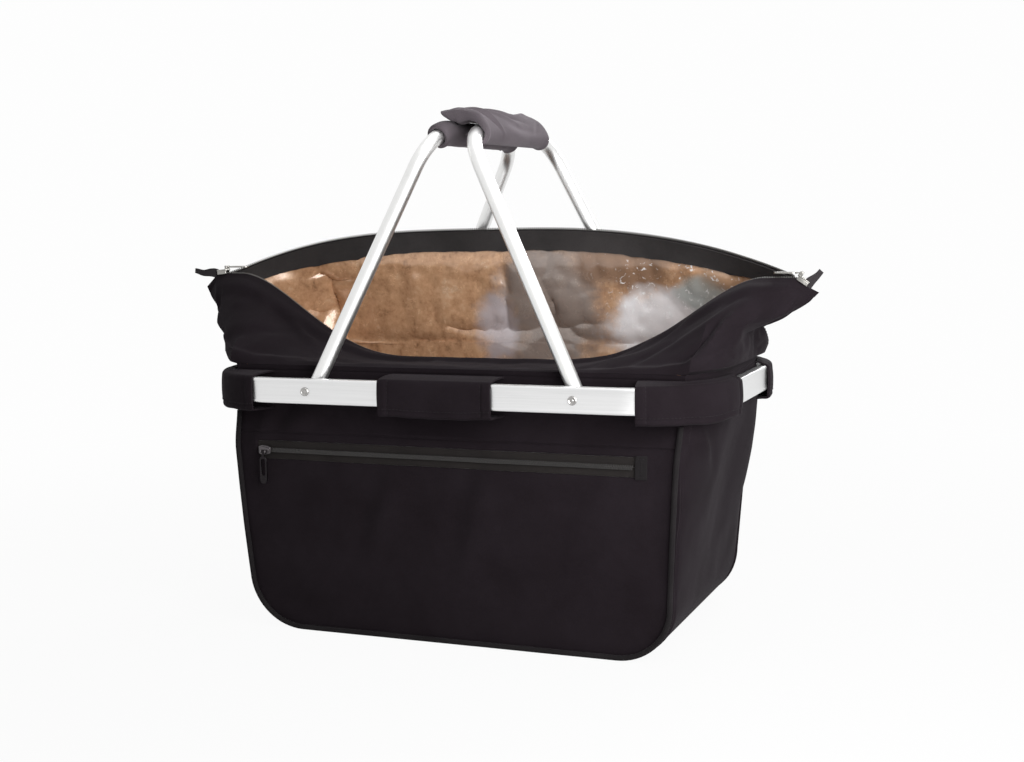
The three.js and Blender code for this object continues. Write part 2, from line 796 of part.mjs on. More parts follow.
// The section of a fabric loop round the channel, sewn to the wall above and below.
function loopSection(station) {
  const outside = LOOP_SLACK + LOOP_FABRIC;
  const top = RING_HEIGHT / 2 + LOOP_SLACK;
  const bottom = -(RING_HEIGHT / 2 + LOOP_DROP);
  const seam = seamZ - RING_CENTRE_Z;
  const foot = -LOOP_FOOT_DROP;
  const wallTop = LOOP_SEWING_GAP - wallReach(station, seamZ);
  const wallFoot = LOOP_SEWING_GAP - wallReach(station, RING_CENTRE_Z + foot);
  const over = -CHANNEL_DEPTH / 2;
  const round = LOOP_EDGE_ROUNDING;
  return [
    [wallTop, seam],
    [over, top + LOOP_FABRIC],
    [outside - round, top + LOOP_FABRIC],
    [outside, top + LOOP_FABRIC - round],
    [outside, bottom - LOOP_FABRIC + round],
    [outside - round, bottom - LOOP_FABRIC],
    [over, bottom - LOOP_FABRIC],
    [wallFoot, foot],
    [wallFoot, foot + LOOP_FABRIC],
    [over, bottom],
    [LOOP_SLACK, bottom],
    [LOOP_SLACK, top],
    [over, top],
    [wallTop, seam - LOOP_FABRIC],
  ];
}

function loopSolid(stations) {
  const sections = stations.map((s) => loopSection(s).map((p) => onRing(s, p)));
  const outline = loopSection(stations[0]).map(([a, b]) => new THREE.Vector2(a, b));
  return loftSolid(sections, outline);
}

function middleLoop(side) {
  const y = side * ringHalfDepth;
  const half = MIDDLE_LOOP_LENGTH / 2;
  return loopSolid([half, -half].map((x) => ({ x, y, nx: 0, ny: side })));
}

// A corner loop runs from the long side round the ring's corner to the end.
function cornerLoop(sx, sy) {
  const cornerX = ringHalfLength - RING_CORNER;
  const cornerY = ringHalfDepth - RING_CORNER;
  const start = Math.asin((CORNER_LOOP_START - cornerX) / RING_CORNER);
  const [footCorner, seamCorner] = [RING_CENTRE_Z - LOOP_FOOT_DROP, seamZ].map((z) =>
    Math.atan2(pipingX(z) - cornerX, halfDepth(z) - cornerY),
  );
  const spread = (from, to) =>
    range(CORNER_LOOP_STEPS).map((i) => lerp(from, to, i / CORNER_LOOP_STEPS));
  const angles = [...spread(start, footCorner), footCorner, ...spread(seamCorner, Math.PI / 2)];
  const arc = [...angles, Math.PI / 2].map((angle) => {
    const nx = sx * Math.sin(angle);
    const ny = sy * Math.cos(angle);
    return { x: sx * cornerX + RING_CORNER * nx, y: sy * cornerY + RING_CORNER * ny, nx, ny };
  });
  const end = { x: sx * ringHalfLength, y: sy * CORNER_LOOP_END, nx: sx, ny: 0 };
  return loopSolid([...arc, end]);
}

// Handles.

// A handle's own plane: along Y and up its lean, from the pivot axis to the top bar.
function handlePlane(sx) {
  const lean = vec(
    (sx * HANDLE_TOP_SPACING) / 2 - sx * pivotX,
    0,
    HANDLE_TOP_Z - RING_CENTRE_Z,
  );
  const reach = lean.length();
  lean.normalize();
  const across = vec(0, 0, 0).crossVectors(vec(0, 1, 0), lean);
  const place = (y, s) => vec(sx * pivotX, y, RING_CENTRE_Z).addScaledVector(lean, s);
  return { lean, reach, across, place };
}

// Stations of the tube's centre line, {y, s, turn}: turn is the heading's angle from the lean.
function tubeStations(reach) {
  const slope = Math.atan(LEG_CONVERGENCE);
  const bendTurn = Math.PI / 2 - slope;
  const bendEndS = reach;
  const centreS = bendEndS - TUBE_BEND_RADIUS;
  const bendStartS = centreS + TUBE_BEND_RADIUS * Math.sin(slope);
  const bendStartY = -(legY - LEG_CONVERGENCE * bendStartS);
  const centreY = bendStartY + TUBE_BEND_RADIUS * Math.cos(slope);
  const foot = { y: -(legY + LEG_CONVERGENCE * TUBE_FOOT), s: -TUBE_FOOT, turn: slope };
  const bend = range(BEND_STEPS + 1).map((i) => {
    const turn = slope + (bendTurn * i) / BEND_STEPS;
    return {
      y: centreY - TUBE_BEND_RADIUS * Math.cos(turn),
      s: centreS + TUBE_BEND_RADIUS * Math.sin(turn),
      turn,
    };
  });
  const half = [foot, ...bend];
  const mirrored = half
    .map(({ y, s, turn }) => ({ y: -y, s, turn: Math.PI - turn }))
    .reverse();
  return [...half, ...mirrored];
}

// A round section swept along stations of a handle's centre line.
function sweepTube(sx, stations, radius) {
  const plane = handlePlane(sx);
  const outline = circleOutline(radius, TUBE_SIDES);
  const sections = stations.map(({ y, s, turn }) => {
    const centre = plane.place(y, s);
    const side = vec(0, Math.cos(turn), 0).addScaledVector(plane.lean, -Math.sin(turn));
    return outline.map((p) =>
      centre.clone().addScaledVector(plane.across, p.x).addScaledVector(side, p.y),
    );
  });
  return loftSolid(sections, outline);
}

// The same stations pushed a little past both ends, for a bore that opens there.
function extended(stations, by) {
  const shift = ({ y, s, turn }, sign) => ({
    y: y + sign * by * Math.sin(turn),
    s: s + sign * by * Math.cos(turn),
    turn,
  });
  return [shift(stations[0], -1), ...stations.slice(1, -1), shift(stations.at(-1), 1)];
}

function handleTube(sx) {
  const stations = tubeStations(handlePlane(sx).reach);
  const tube = sweepTube(sx, stations, tubeRadius);
  const bore = sweepTube(sx, extended(stations, CUT_MARGIN), tubeRadius - TUBE_WALL);
  const rivetHole = barY(
    RIVET_RADIUS + RIVET_CLEARANCE,
    sx * pivotX,
    RING_CENTRE_Z,
    -ringHalfDepth,
    ringHalfDepth,
  );
  return cut(tube, bore, rivetHole);
}

// The part of the centre line that a grip covers. It ends in the tube's bends, or before them
// where the bar is longer than the grip.
function gripStations(reach) {
  const half = GRIP_LENGTH / 2;
  const inside = tubeStations(reach).filter(({ y }) => Math.abs(y) < half - CUT_MARGIN);
  const slope = Math.atan(LEG_CONVERGENCE);
  const centreS = reach - TUBE_BEND_RADIUS;
  const bendStartS = centreS + TUBE_BEND_RADIUS * Math.sin(slope);
  const centreY = -(legY - LEG_CONVERGENCE * bendStartS) + TUBE_BEND_RADIUS * Math.cos(slope);
  const turn = Math.acos(clamp01((half + centreY) / TUBE_BEND_RADIUS));
  const s = centreS + TUBE_BEND_RADIUS * Math.sin(turn);
  return [{ y: -half, s, turn }, ...inside, { y: half, s, turn: Math.PI - turn }];
}

function gripSleeve(sx) {
  const stations = gripStations(handlePlane(sx).reach);
  const bore = sweepTube(sx, extended(stations, CUT_MARGIN), gripBore);
  return cut(sweepTube(sx, stations, gripRadius), bore);
}

// The flap of the wrap follows the arc that the left grip sweeps, a little above it.
function flapOutline() {
  const { reach } = handlePlane(-1);
  const underside = reach + gripRadius + FLAP_CLEARANCE;
  const rightGripX = HANDLE_TOP_SPACING / 2;
  const start = Math.asin((rightGripX + pivotX) / underside);
  const stop = Math.asin((rightGripX - FLAP_REACH + pivotX) / underside);
  const arc = (radius, steps) =>
    range(steps + 1).map((i) => {
      const angle = lerp(start, stop, i / steps);
      return new THREE.Vector2(
        -pivotX + radius * Math.sin(angle),
        RING_CENTRE_Z + radius * Math.cos(angle),
      );
    });
  return [...arc(underside, 5), ...arc(underside + FLAP_THICKNESS, 5).reverse()];
}

function extrudeY(outline, y0, y1) {
  const sections = [y0, y1].map((y) => outline.map((p) => vec(p.x, y, p.y)));
  return loftSolid(sections, outline);
}

function gripWrap() {
  const half = GRIP_LENGTH / 2 - FLAP_SIDE_MARGIN;
  const stations = gripStations(handlePlane(1).reach);
  const flap = extrudeY(flapOutline(), -half, half);
  const bore = sweepTube(1, extended(stations, CUT_MARGIN), gripBore);
  return cut(join(sweepTube(1, stations, gripRadius), flap), bore);
}

// The strip of hook tape under the flap's free edge.
function hookTape() {
  const { reach } = handlePlane(-1);
  const under = reach + gripRadius + FLAP_CLEARANCE - GAP;
  const edgeX = HANDLE_TOP_SPACING / 2 - FLAP_REACH + HOOK_TAPE_MARGIN;
  const angles = [edgeX, edgeX + HOOK_TAPE_WIDTH / 2, edgeX + HOOK_TAPE_WIDTH].map((x) =>
    Math.asin((x + pivotX) / under),
  );
  const arc = (radius) =>
    angles.map(
      (angle) =>
        new THREE.Vector2(
          -pivotX + radius * Math.sin(angle),
          RING_CENTRE_Z + radius * Math.cos(angle),
        ),
    );
  const outline = [...arc(under - HOOK_TAPE_THICKNESS), ...arc(under).reverse()];
  return extrudeY(outline, -HOOK_TAPE_LENGTH / 2, HOOK_TAPE_LENGTH / 2);
}

// Body pieces.

function bottomPanel() {
  const half = bottomHalfDepth - FABRIC - GAP;
  return box(-bottomHalfLength + GAP, bottomHalfLength - GAP, -half, half, 0, FABRIC);
}

function baseLayer(from, thickness) {
  const half = bottomHalfDepth - linerStart;
  const length = bottomHalfLength - GAP;
  return box(-length, length, -half, half, from, from + thickness);
}

// The front panel has a slot for the pocket zip.
function frontPanel() {
  const { bottom, top } = POCKET_ZIP;
  const [near, far] = [-SLOT_CUT_REACH, SLOT_CUT_REACH].map((reach) => reach - bellyHalfDepth);
  const wall = longWall(-1, 0, FABRIC, 0, frontPanelTop);
  return cut(wall, box(pocketLeft, pocketRight, near, far, bottom, top));
}

// A strip that follows the front panel between two heights.
function frontStrip(x0, x1, z0, z1, from, to) {
  const heights = [z0, ...upperLevels.filter((z) => z > z0 && z < z1), z1];
  const grid = (inset) =>
    heights.map((z) => [x0, x1].map((x) => vec(x, -(halfDepth(z) - inset), z)));
  return sheetSolid(grid(from), grid(to));
}

const pocketZipMiddle = (POCKET_ZIP.bottom + POCKET_ZIP.top) / 2;

function pocketTape(z0, z1) {
  return frontStrip(
    pocketLeft + GAP,
    pocketRight - GAP,
    z0,
    z1,
    GAP,
    GAP + POCKET_ZIP_TAPE,
  );
}

// A cord along the edge of the front or back panel.
function piping(side) {
  const radius = PIPING_RADIUS;
  const end = ringBottom - LOOP_DROP - PIPING_END_DROP;
  const half = profileRows(radius, radius, end)
    .filter(({ z }) => z <= end)
    .map(({ x, z }) => vec(x, side * (halfDepth(z) + radius + GAP), z + PIPING_FLOOR_CLEARANCE));
  const path = [...half.map((p) => vec(-p.x, p.y, p.z)).reverse(), ...half];
  const outline = circleOutline(radius, 6);
  const sections = path.map((p, i) => {
    const before = path[Math.max(0, i - 1)];
    const after = path[Math.min(path.length - 1, i + 1)];
    const along = after.clone().sub(before).normalize();
    const out = vec(0, side, 0);
    out.addScaledVector(along, -out.dot(along)).normalize();
    const across = vec(0, 0, 0).crossVectors(along, out);
    return outline.map((q) =>
      p.clone().addScaledVector(out, q.x).addScaledVector(across, q.y),
    );
  });
  return loftSolid(sections, outline);
}

// Sliders and pulls.

const pocketSliderX = pocketLeft + SLIDER.start + SLIDER.length / 2;
const pocketFaceY = -(halfDepth(pocketZipMiddle) + POCKET_TEETH_THICKNESS + GAP);
const pocketPivot = vec(
  pocketSliderX,
  pocketFaceY - SLIDER.height - PULL.eye - GAP,
  pocketZipMiddle - SLIDER.pivotDrop,
);

// The slider rides on the teeth, with two ears that hold the pull.
function pocketSlider() {
  const { length, width, height } = SLIDER;
  const x = pocketSliderX;
  const z = pocketZipMiddle;
  const body = box(
    x - length / 2,
    x + length / 2,
    pocketFaceY - height,
    pocketFaceY,
    z - width / 2,
    z + width / 2,
  );
  const near = PULL.neck / 2 + GAP;
  const ears = [-1, 1].map((s) => {
    const x0 = x + (s < 0 ? -near - SLIDER_EAR.thickness : near);
    return box(
      x0,
      x0 + SLIDER_EAR.thickness,
      pocketPivot.y - PULL.eye,
      pocketFaceY - height + SLIDER_EAR.root,
      pocketPivot.z - SLIDER_EAR.length / 2,
      pocketPivot.z + SLIDER_EAR.length / 2,
    );
  });
  return join(body, ...ears);
}

// A flat pull that hangs along -Z from an eye at the origin, flat in the XZ plane.
function pullShape({ length, width, thickness, neck, eye }) {
  const half = [
    [neck / 2, 0],
    [neck / 2, -PULL_NECK_LENGTH],
    [width / 2, -PULL_SHOULDER],
    [width / 2, -length + PULL_CHAMFER],
    [width / 2 - PULL_CHAMFER, -length],
  ].map(([x, z]) => new THREE.Vector2(x, z));
  const mirrored = half.map((p) => new THREE.Vector2(-p.x, p.y)).reverse();
  const blade = extrudeY([...half, ...mirrored], -thickness / 2, thickness / 2);
  const knuckle = new THREE.CylinderGeometry(eye, eye, neck, 8).rotateZ(Math.PI / 2);
  return join(blade, knuckle);
}

function pocketPull() {
  return pullShape(PULL).translate(pocketPivot.x, pocketPivot.y, pocketPivot.z);
}

// Heights over the rim line: the slider's roof clears the teeth, and the pull clears the roof.
const sliderRoof = GAP + ZIP_TEETH_WIDTH + GAP;
const sliderTop = sliderRoof + MOUTH_SLIDER.roof;
const sliderPivotHeight = sliderTop + MOUTH_PULL_CLEARANCE + MOUTH_PULL.eye;
const sliderStart = (CLOSED_RUN - MOUTH_SLIDER.length) / 2;
const sliderPivotOut = sliderStart + SLIDER_EAR.length / 2;

// A box on the closed stretch of the zip, from inner to outer end and between two heights.
function boxOnZip(end, out0, out1, y0, y1, up0, up1) {
  const corner = onClosedZip(end, 0, 0);
  const [x0, x1] = end.side < 0 ? [-out1, -out0] : [out0, out1];
  return box(x0, x1, y0, y1, up0, up1)
    .rotateY(end.side * THREE.MathUtils.degToRad(end.sliderTilt))
    .translate(corner.x, 0, corner.z);
}

// A mouth slider straddles both rows of teeth.
function mouthSlider(end) {
  const { length, width, height } = MOUTH_SLIDER;
  const stop = sliderStart + length;
  const half = width / 2;
  const slot = FABRIC + GAP / 2 + 2 * GAP;
  const [from, to] = [sliderStart - CUT_MARGIN, stop + CUT_MARGIN];
  const block = boxOnZip(end, sliderStart, stop, -half, half, sliderTop - height, sliderTop);
  const channel = boxOnZip(end, from, to, -slot, slot, -height, sliderRoof);
  const near = MOUTH_PULL.neck / 2 + GAP;
  const earEnd = sliderStart + SLIDER_EAR.length;
  const earFoot = sliderTop - SLIDER_EAR.root;
  const earTop = sliderPivotHeight + MOUTH_PULL.eye;
  const ears = [-1, 1].map((s) => {
    const y0 = s < 0 ? -near - SLIDER_EAR.thickness : near;
    const y1 = y0 + SLIDER_EAR.thickness;
    return boxOnZip(end, sliderStart, earEnd, y0, y1, earFoot, earTop);
  });
  return join(cut(block, channel), ...ears);
}

// The pull of a mouth slider lies level, towards the middle of the mouth.
function mouthPull(end) {
  const pivot = onClosedZip(end, sliderPivotOut, sliderPivotHeight);
  return pullShape(MOUTH_PULL)
    .rotateZ(Math.PI / 2)
    .rotateY((end.side * Math.PI) / 2)
    .translate(pivot.x, pivot.y, pivot.z);
}

// The folded end of the zip tape, sewn on the closed stretch beyond the slider.
function endTab(end, { length, lift }) {
  const { width, foot, thickness, rounding } = END_TAB;
  const base = onClosedZip(end, CLOSED_RUN + END_TAB.start, GAP);
  const tip = vec(end.side * end.tipX, 0, end.tipZ);
  const along = tip.clone().sub(base).normalize();
  const heel = base.clone().addScaledVector(along, foot).add(vec(0, 0, 2 * GAP));
  const angle = THREE.MathUtils.degToRad(lift);
  const out = vec(end.side * Math.cos(angle), 0, Math.sin(angle));
  const up = vec(-end.side * Math.sin(angle), 0, Math.cos(angle));
  const far = base.clone().addScaledVector(out, length);
  const outline = [
    base.clone().add(vec(0, 0, 2 * GAP)),
    heel,
    far.clone().addScaledVector(up, rounding),
    far.clone().addScaledVector(up, width - rounding),
    far.clone().addScaledVector(up, width).addScaledVector(out, -width / 2),
    base.clone().add(vec(0, 0, (width - rounding) / Math.cos(angle))),
  ].map((p) => new THREE.Vector2(p.x, p.z));
  return extrudeY(outline, -thickness / 2, thickness / 2);
}

// Assembly.

const basket = new THREE.Group();

function add(name, geometry, finish) {
  geometry.computeVertexNormals();
  const mesh = new THREE.Mesh(geometry, finish);
  mesh.name = name;
  basket.add(mesh);
}

const ends = [
  ["left", -1],
  ["right", 1],
];
const faces = [
  ["front", -1],
  ["back", 1],
];

add("frame_ring", frameRing(), aluminium);
add("frame_splice", splicePlate(), aluminium);
for (const [end, sx] of ends) {
  add(`splice_rivet_${end}`, spliceRivet(sx), nickel);
  add(`handle_${end}`, handleTube(sx), aluminium);
}
for (const [face, sy] of faces)
  for (const [end, sx] of ends) {
    add(`pivot_rivet_${face}_${end}`, pivotRivet(sx, sy), nickel);
    add(`pivot_spacer_${face}_${end}`, pivotSpacer(sx, sy), nylon);
    add(`corner_loop_${face}_${end}`, cornerLoop(sx, sy), fabric);
  }
add("grip_left", gripSleeve(-1), gripFabric);
add("grip_right_wrap", gripWrap(), gripFabric);
add("grip_hook_tape", hookTape(), zipTape);

add("front_panel", frontPanel(), fabric);
add("back_panel", longWall(1, 0, FABRIC, 0), fabric);
add("bottom_panel", bottomPanel(), fabric);
add("base_board", baseLayer(FABRIC + GAP, BASE_BOARD), boardPlastic);
add("foam_bottom", baseLayer(FABRIC + GAP + BASE_BOARD + GAP, FOAM), foamGrey);
add(
  "foam_front",
  longWall(-1, foamStart + POCKET_LINING + GAP, foamStart + FOAM, foamStart, innerTop),
  foamGrey,
);
add("foam_back", longWall(1, foamStart, foamStart + FOAM, foamStart, innerTop), foamGrey);
add("liner_tub", linerTub(), foil);
for (const [end, sx] of ends) {
  add(`side_panel_${end}`, endWall(sx, 0, FABRIC, FABRIC + GAP), fabric);
  add(`foam_${end}`, endWall(sx, foamStart, foamStart + FOAM, linerStart, innerTop), foamGrey);
}
for (const [face, sy] of faces) {
  add(`middle_loop_${face}`, middleLoop(sy), fabric);
  add(`piping_${face}`, piping(sy), fabricTrim);

  const inner = (from, thickness, fromShare, toShare) =>
    upperWall(sy, from, from + thickness, fromShare, toShare, UPPER_END_COLUMNS);
  const foamLayer = inner(upperFoamStart, UPPER_FOAM, LINING_SHARE, BAND_START);
  const linerLayer = inner(upperLinerStart, LINER, LINING_SHARE, BAND_START);
  const band = inner(upperFoamStart, RIM_BAND_THICKNESS, BAND_START + SEAM_SHARE, 1);
  add(`upper_wall_${face}`, upperWall(sy, 0, FABRIC, SEAM_SHARE, 1, 0), fabric);
  add(`upper_foam_${face}`, foamLayer, foamGrey);
  add(`upper_liner_${face}`, linerLayer, foil);
  add(`rim_band_${face}`, band, zipTape);
  add(`zip_teeth_${face}`, rimTeeth(sy), zipPlastic);
}
for (const [end, sizes] of [
  ["left", MOUTH.left],
  ["right", MOUTH.right],
]) {
  add(`zip_slider_${end}`, mouthSlider(sizes), nickel);
  add(`zip_pull_${end}`, mouthPull(sizes), fabricTrim);
  add(`zip_end_tab_${end}`, endTab(sizes, END_TAB[end]), fabricTrim);
}

const { bottom, top } = POCKET_ZIP;
add("pocket_zip_tape_lower", pocketTape(bottom + GAP, pocketZipMiddle - GAP), zipTape);
add("pocket_zip_tape_upper", pocketTape(pocketZipMiddle + GAP, top - GAP), zipTape);
add(
  "pocket_zip_teeth",
  frontStrip(
    pocketLeft + POCKET_TEETH_MARGIN,
    pocketRight - POCKET_TEETH_MARGIN,
    pocketZipMiddle - POCKET_TEETH_WIDTH / 2,
    pocketZipMiddle + POCKET_TEETH_WIDTH / 2,
    -POCKET_TEETH_THICKNESS,
    0,
  ),
  zipPlastic,
);
add(
  "pocket_zip_patch",
  frontStrip(
    pocketRight + GAP,
    pocketRight + POCKET_PATCH.length,
    bottom - POCKET_PATCH.overlap,
    top + POCKET_PATCH.overlap,
    -POCKET_PATCH.thickness - GAP,
    -GAP,
  ),
  fabric,
);
add(
  "pocket_lining",
  frontStrip(
    POCKET_LINING_MARGIN - panelTopHalf,
    panelTopHalf - POCKET_LINING_MARGIN,
    BOTTOM_CORNER,
    bottom - POCKET_LINING_DROP,
    foamStart,
    foamStart + POCKET_LINING,
  ),
  zipTape,
);
add("pocket_slider", pocketSlider(), zipPlastic);
add("pocket_pull", pocketPull(), zipPlastic);

export default basket;
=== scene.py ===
import json
import math

import bpy
import numpy as np
from mathutils import Matrix, Vector, noise


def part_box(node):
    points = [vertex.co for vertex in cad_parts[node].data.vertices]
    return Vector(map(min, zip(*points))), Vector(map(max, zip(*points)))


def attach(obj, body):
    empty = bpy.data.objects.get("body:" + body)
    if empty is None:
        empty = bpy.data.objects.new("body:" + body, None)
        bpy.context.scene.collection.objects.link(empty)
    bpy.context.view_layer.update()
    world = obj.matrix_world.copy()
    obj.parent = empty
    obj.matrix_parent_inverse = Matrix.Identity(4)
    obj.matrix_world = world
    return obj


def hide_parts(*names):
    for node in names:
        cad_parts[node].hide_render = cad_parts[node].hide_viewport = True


MM = 0.001
SIDES = ((-1, "front"), (1, "back"))
ENDS = ((-1, "left"), (1, "right"))

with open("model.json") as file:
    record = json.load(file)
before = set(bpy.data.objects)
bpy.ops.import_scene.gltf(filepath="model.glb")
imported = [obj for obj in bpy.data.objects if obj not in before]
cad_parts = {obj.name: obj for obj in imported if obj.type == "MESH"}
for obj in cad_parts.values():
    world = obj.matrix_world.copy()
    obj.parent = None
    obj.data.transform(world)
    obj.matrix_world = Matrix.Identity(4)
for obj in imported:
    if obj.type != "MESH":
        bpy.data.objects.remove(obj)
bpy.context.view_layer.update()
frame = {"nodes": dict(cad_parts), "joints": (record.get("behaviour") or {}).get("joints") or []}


def node_box(node):
    low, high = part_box(node)
    return np.array(low) / MM, np.array(high) / MM


# Sizes read from the frame.
ring_half_length, ring_half_depth, ring_top = node_box("frame_ring")[1]
ring_bottom = node_box("frame_ring")[0][2]
ring_centre_z = (ring_top + ring_bottom) / 2
ring_half_height = (ring_top - ring_bottom) / 2
panel_top_half = node_box("front_panel")[1][0]
belly_half_depth = node_box("back_panel")[1][1]
body_end_x, _, seam_z = node_box("side_panel_right")[1]

# Layers of the wall, from the outside in, with the sewing gap between them.
GAP = 0.3
FABRIC = 1.5
FOAM = 4.0
LINER = 0.8
BASE_BOARD = 3.0
UPPER_FOAM = 2.5
POCKET_LINING = 0.5
foam_start = FABRIC + GAP
liner_start = foam_start + FOAM + GAP
liner_floor = FABRIC + GAP + BASE_BOARD + GAP + FOAM + GAP
upper_liner_start = foam_start + UPPER_FOAM + GAP
inner_top = seam_z - upper_liner_start - LINER - GAP

# Bag body.
PANEL_TAPER = 13.0
BELLY_SWELL = 9.0
BOTTOM_DRAW_IN = 1.0
BELLY_Z = 165.0
BOTTOM_CORNER = 50.0
WALL_START_DROP = 2.0
END_BULGE_POWER = 4
END_BULGE_RISE = 1.3
wall_half_depth = belly_half_depth - BELLY_SWELL
bottom_half_depth = wall_half_depth - BOTTOM_DRAW_IN
wall_start_z = ring_bottom - WALL_START_DROP
panel_foot_half = panel_top_half - PANEL_TAPER

# Channel ring.
CHANNEL_DEPTH = 8.0
CHANNEL_WALL = 2.0
CHANNEL_EDGE = 1.5
FACE_LIP = 2.9
FACE_LIP_RISE = 0.4
RING_CORNER = 80.0
RING_CORNER_STEPS = 28

# Bail handles.
TUBE_RADIUS = 6.5
TUBE_WALL = 1.5
TUBE_STANDOFF = 2.5
TUBE_FOOT = 7.0
TUBE_BEND_RADIUS = 37.0
TUBE_SIDES = 40
BEND_STEPS = 28
LEG_CONVERGENCE = 0.105
PIVOT_X = 123.0
HANDLE_TOP_X = 16.0
HANDLE_TOP_Z = 443.0
GRIP_LENGTH = 164.0
GRIP_PADDING = 4.2
GRIP_CLEARANCE = 0.55
leg_y = ring_half_depth - CHANNEL_DEPTH - TUBE_STANDOFF - TUBE_RADIUS
grip_radius = TUBE_RADIUS + GAP + GRIP_PADDING
grip_bore = TUBE_RADIUS + GRIP_CLEARANCE

# Mouth: the rims meet under a slider near each end and run out to a corner.
MOUTH = {
    -1: dict(closed_x=283.0, closed_z=318.0, tilt=5.0, tip_x=310.0, tip_z=305.0,
             front_flat=75.0, front_top=268.0, front_power=1.3, back_power=4.3),
    1: dict(closed_x=275.5, closed_z=314.5, tilt=35.0, tip_x=296.0, tip_z=302.0,
            front_flat=60.0, front_top=250.0, front_power=1.5, back_power=2.2),
}
BACK_RIM_Z = 356.0
BACK_RIM_Y = 92.0
BACK_RIM_ROUNDING = 0.7
FRONT_RIM_Z = 242.0
FRONT_RIM_Y = 21.0
FRONT_CREST = 8.0
SHOULDER_ALONG = 0.25
SHOULDER = {-1: dict(lean=0.25, rise=0.42), 1: dict(lean=0.12, rise=0.52)}
CLOSED_RUN = 14.0
RIM_SPREAD = 1.06
RIM_BAND_SHARE = 0.14
RIM_BAND_THICKNESS = 1.2
RIM_BAND_LAP = 1.2
RIM_SEAM = 7.0
LINING_SHARE = 0.06
LINING_FROM_END = 0.1

# Loops that hold the ring.
LOOP_FABRIC = 1.4
LOOP_SLACK = 0.6
LOOP_DROP = 6.6
LOOP_SAG = 0.9
LOOP_FOOT_DROP = 20.0
LOOP_SEWING_GAP = 0.6
LOOP_TOP_ROUND = 4.4
LOOP_LOW_ROUND = 3.2
LOOP_SHELF_CREST = 1.6
LOOP_BELLY = 0.7
LOOP_SWELL = 0.45
LOOP_HEM = 5.2
LOOP_SIDE_HEM = 9.0
LOOP_HEM_WIDTH = 7.0
LOOP_FACE_ROWS = slice(14, 44)
MIDDLE_LOOP_LENGTH = 104.0
CORNER_LOOP_START = 175.5
CORNER_LOOP_END = 52.8

# Piping and pocket zip.
PIPING_RADIUS = 2.25
POCKET = dict(left=-184.0, right=169.0, bottom=157.0, top=174.0)
POCKET_SEAM_Z = 181.0
WALL_SEAM_DROP = 4.8
wall_seam_z = seam_z - WALL_SEAM_DROP


def lerp(a, b, t):
    return a + (b - a) * t


def clamp01(t):
    return np.clip(t, 0.0, 1.0)


def smooth(t):
    t = clamp01(t)
    return t * t * (3 - 2 * t)


def bump(distance, width):
    return np.exp(-((distance / width) ** 2))


def unit(vectors):
    return vectors / np.maximum(np.linalg.norm(vectors, axis=-1, keepdims=True), 1e-12)


def path_along(points):
    """Distance from the first row of points to each row."""
    steps = np.linalg.norm(np.diff(points, axis=0), axis=-1)
    return np.concatenate([np.zeros_like(steps[:1]), steps.cumsum(0)])


def points_at(*coordinates):
    """Points from arrays, or single values, of each coordinate."""
    return np.stack(np.broadcast_arrays(*coordinates), -1)


def spline(points, count):
    """A smooth curve through given points, evenly spaced."""
    points = np.array(points, float)
    ends = np.concatenate([[2 * points[0] - points[1]], points, [2 * points[-1] - points[-2]]])
    made = []
    for i in range(len(points) - 1):
        a, b, c, d = ends[i : i + 4]
        t = np.linspace(0, 1, 12, endpoint=False)[:, None]
        made.append(
            0.5 * (2 * b + (c - a) * t + (2 * a - 5 * b + 4 * c - d) * t**2
                   + (3 * b - a - 3 * c + d) * t**3)
        )
    made = np.concatenate([*made, points[-1:]])
    path = path_along(made)
    at = np.linspace(0, path[-1], count) if np.isscalar(count) else count * path[-1]
    return np.stack([np.interp(at, path, made[:, i]) for i in range(made.shape[1])], 1)


# Meshes.

SOFT_ANGLE = 60


def facing_out(points, faces):
    """The faces, turned round if the closed mesh is inside out."""
    volume = 0.0
    for face in faces:
        a = points[face[0]]
        for i in range(1, len(face) - 1):
            volume += np.dot(a, np.cross(points[face[i]], points[face[i + 1]]))
    return faces if volume > 0 else [face[::-1] for face in faces]


def quad_volume(points, quads):
    a, b, c, d = (points[quads[:, i]] for i in range(4))
    return (np.einsum("ij,ij->i", a, np.cross(b, c)) + np.einsum("ij,ij->i", a, np.cross(c, d))).sum()


def box_grid(node, axes, counts):
    """The corners of a node's box, and a grid of values over it along two axes."""
    low, high = node_box(node)
    spans = [np.linspace(low[axis], high[axis], count) for axis, count in zip(axes, counts)]
    return low, high, *np.meshgrid(*spans)


def grid_cells(rows, columns):
    """The four corners of each cell of a grid of points."""
    index = np.arange(rows * columns).reshape(rows, columns)
    return np.stack([index[:-1, :-1], index[:-1, 1:], index[1:, 1:], index[1:, :-1]], -1)


def sheet(outer, inner, keep=None):
    """A closed solid between two like grids of points. keep marks the cells that are there."""
    rows, columns = outer.shape[:2]
    cells = grid_cells(rows, columns)
    quads = cells.reshape(-1, 4) if keep is None else cells[keep]
    edges = np.concatenate([quads[:, [i, (i + 1) % 4]] for i in range(4)])
    key = np.sort(edges, 1) @ np.array([rows * columns, 1])
    _, first, count = np.unique(key, return_index=True, return_counts=True)
    rim = edges[first[count == 1]]
    shift = rows * columns
    sides = np.stack([rim[:, 1], rim[:, 0], rim[:, 0] + shift, rim[:, 1] + shift], 1)
    faces = np.concatenate([quads, quads[:, ::-1] + shift, sides])
    points = np.concatenate([outer.reshape(-1, 3), inner.reshape(-1, 3)])
    if quad_volume(points, faces) < 0:
        faces = faces[:, ::-1]
    return points, faces.tolist()


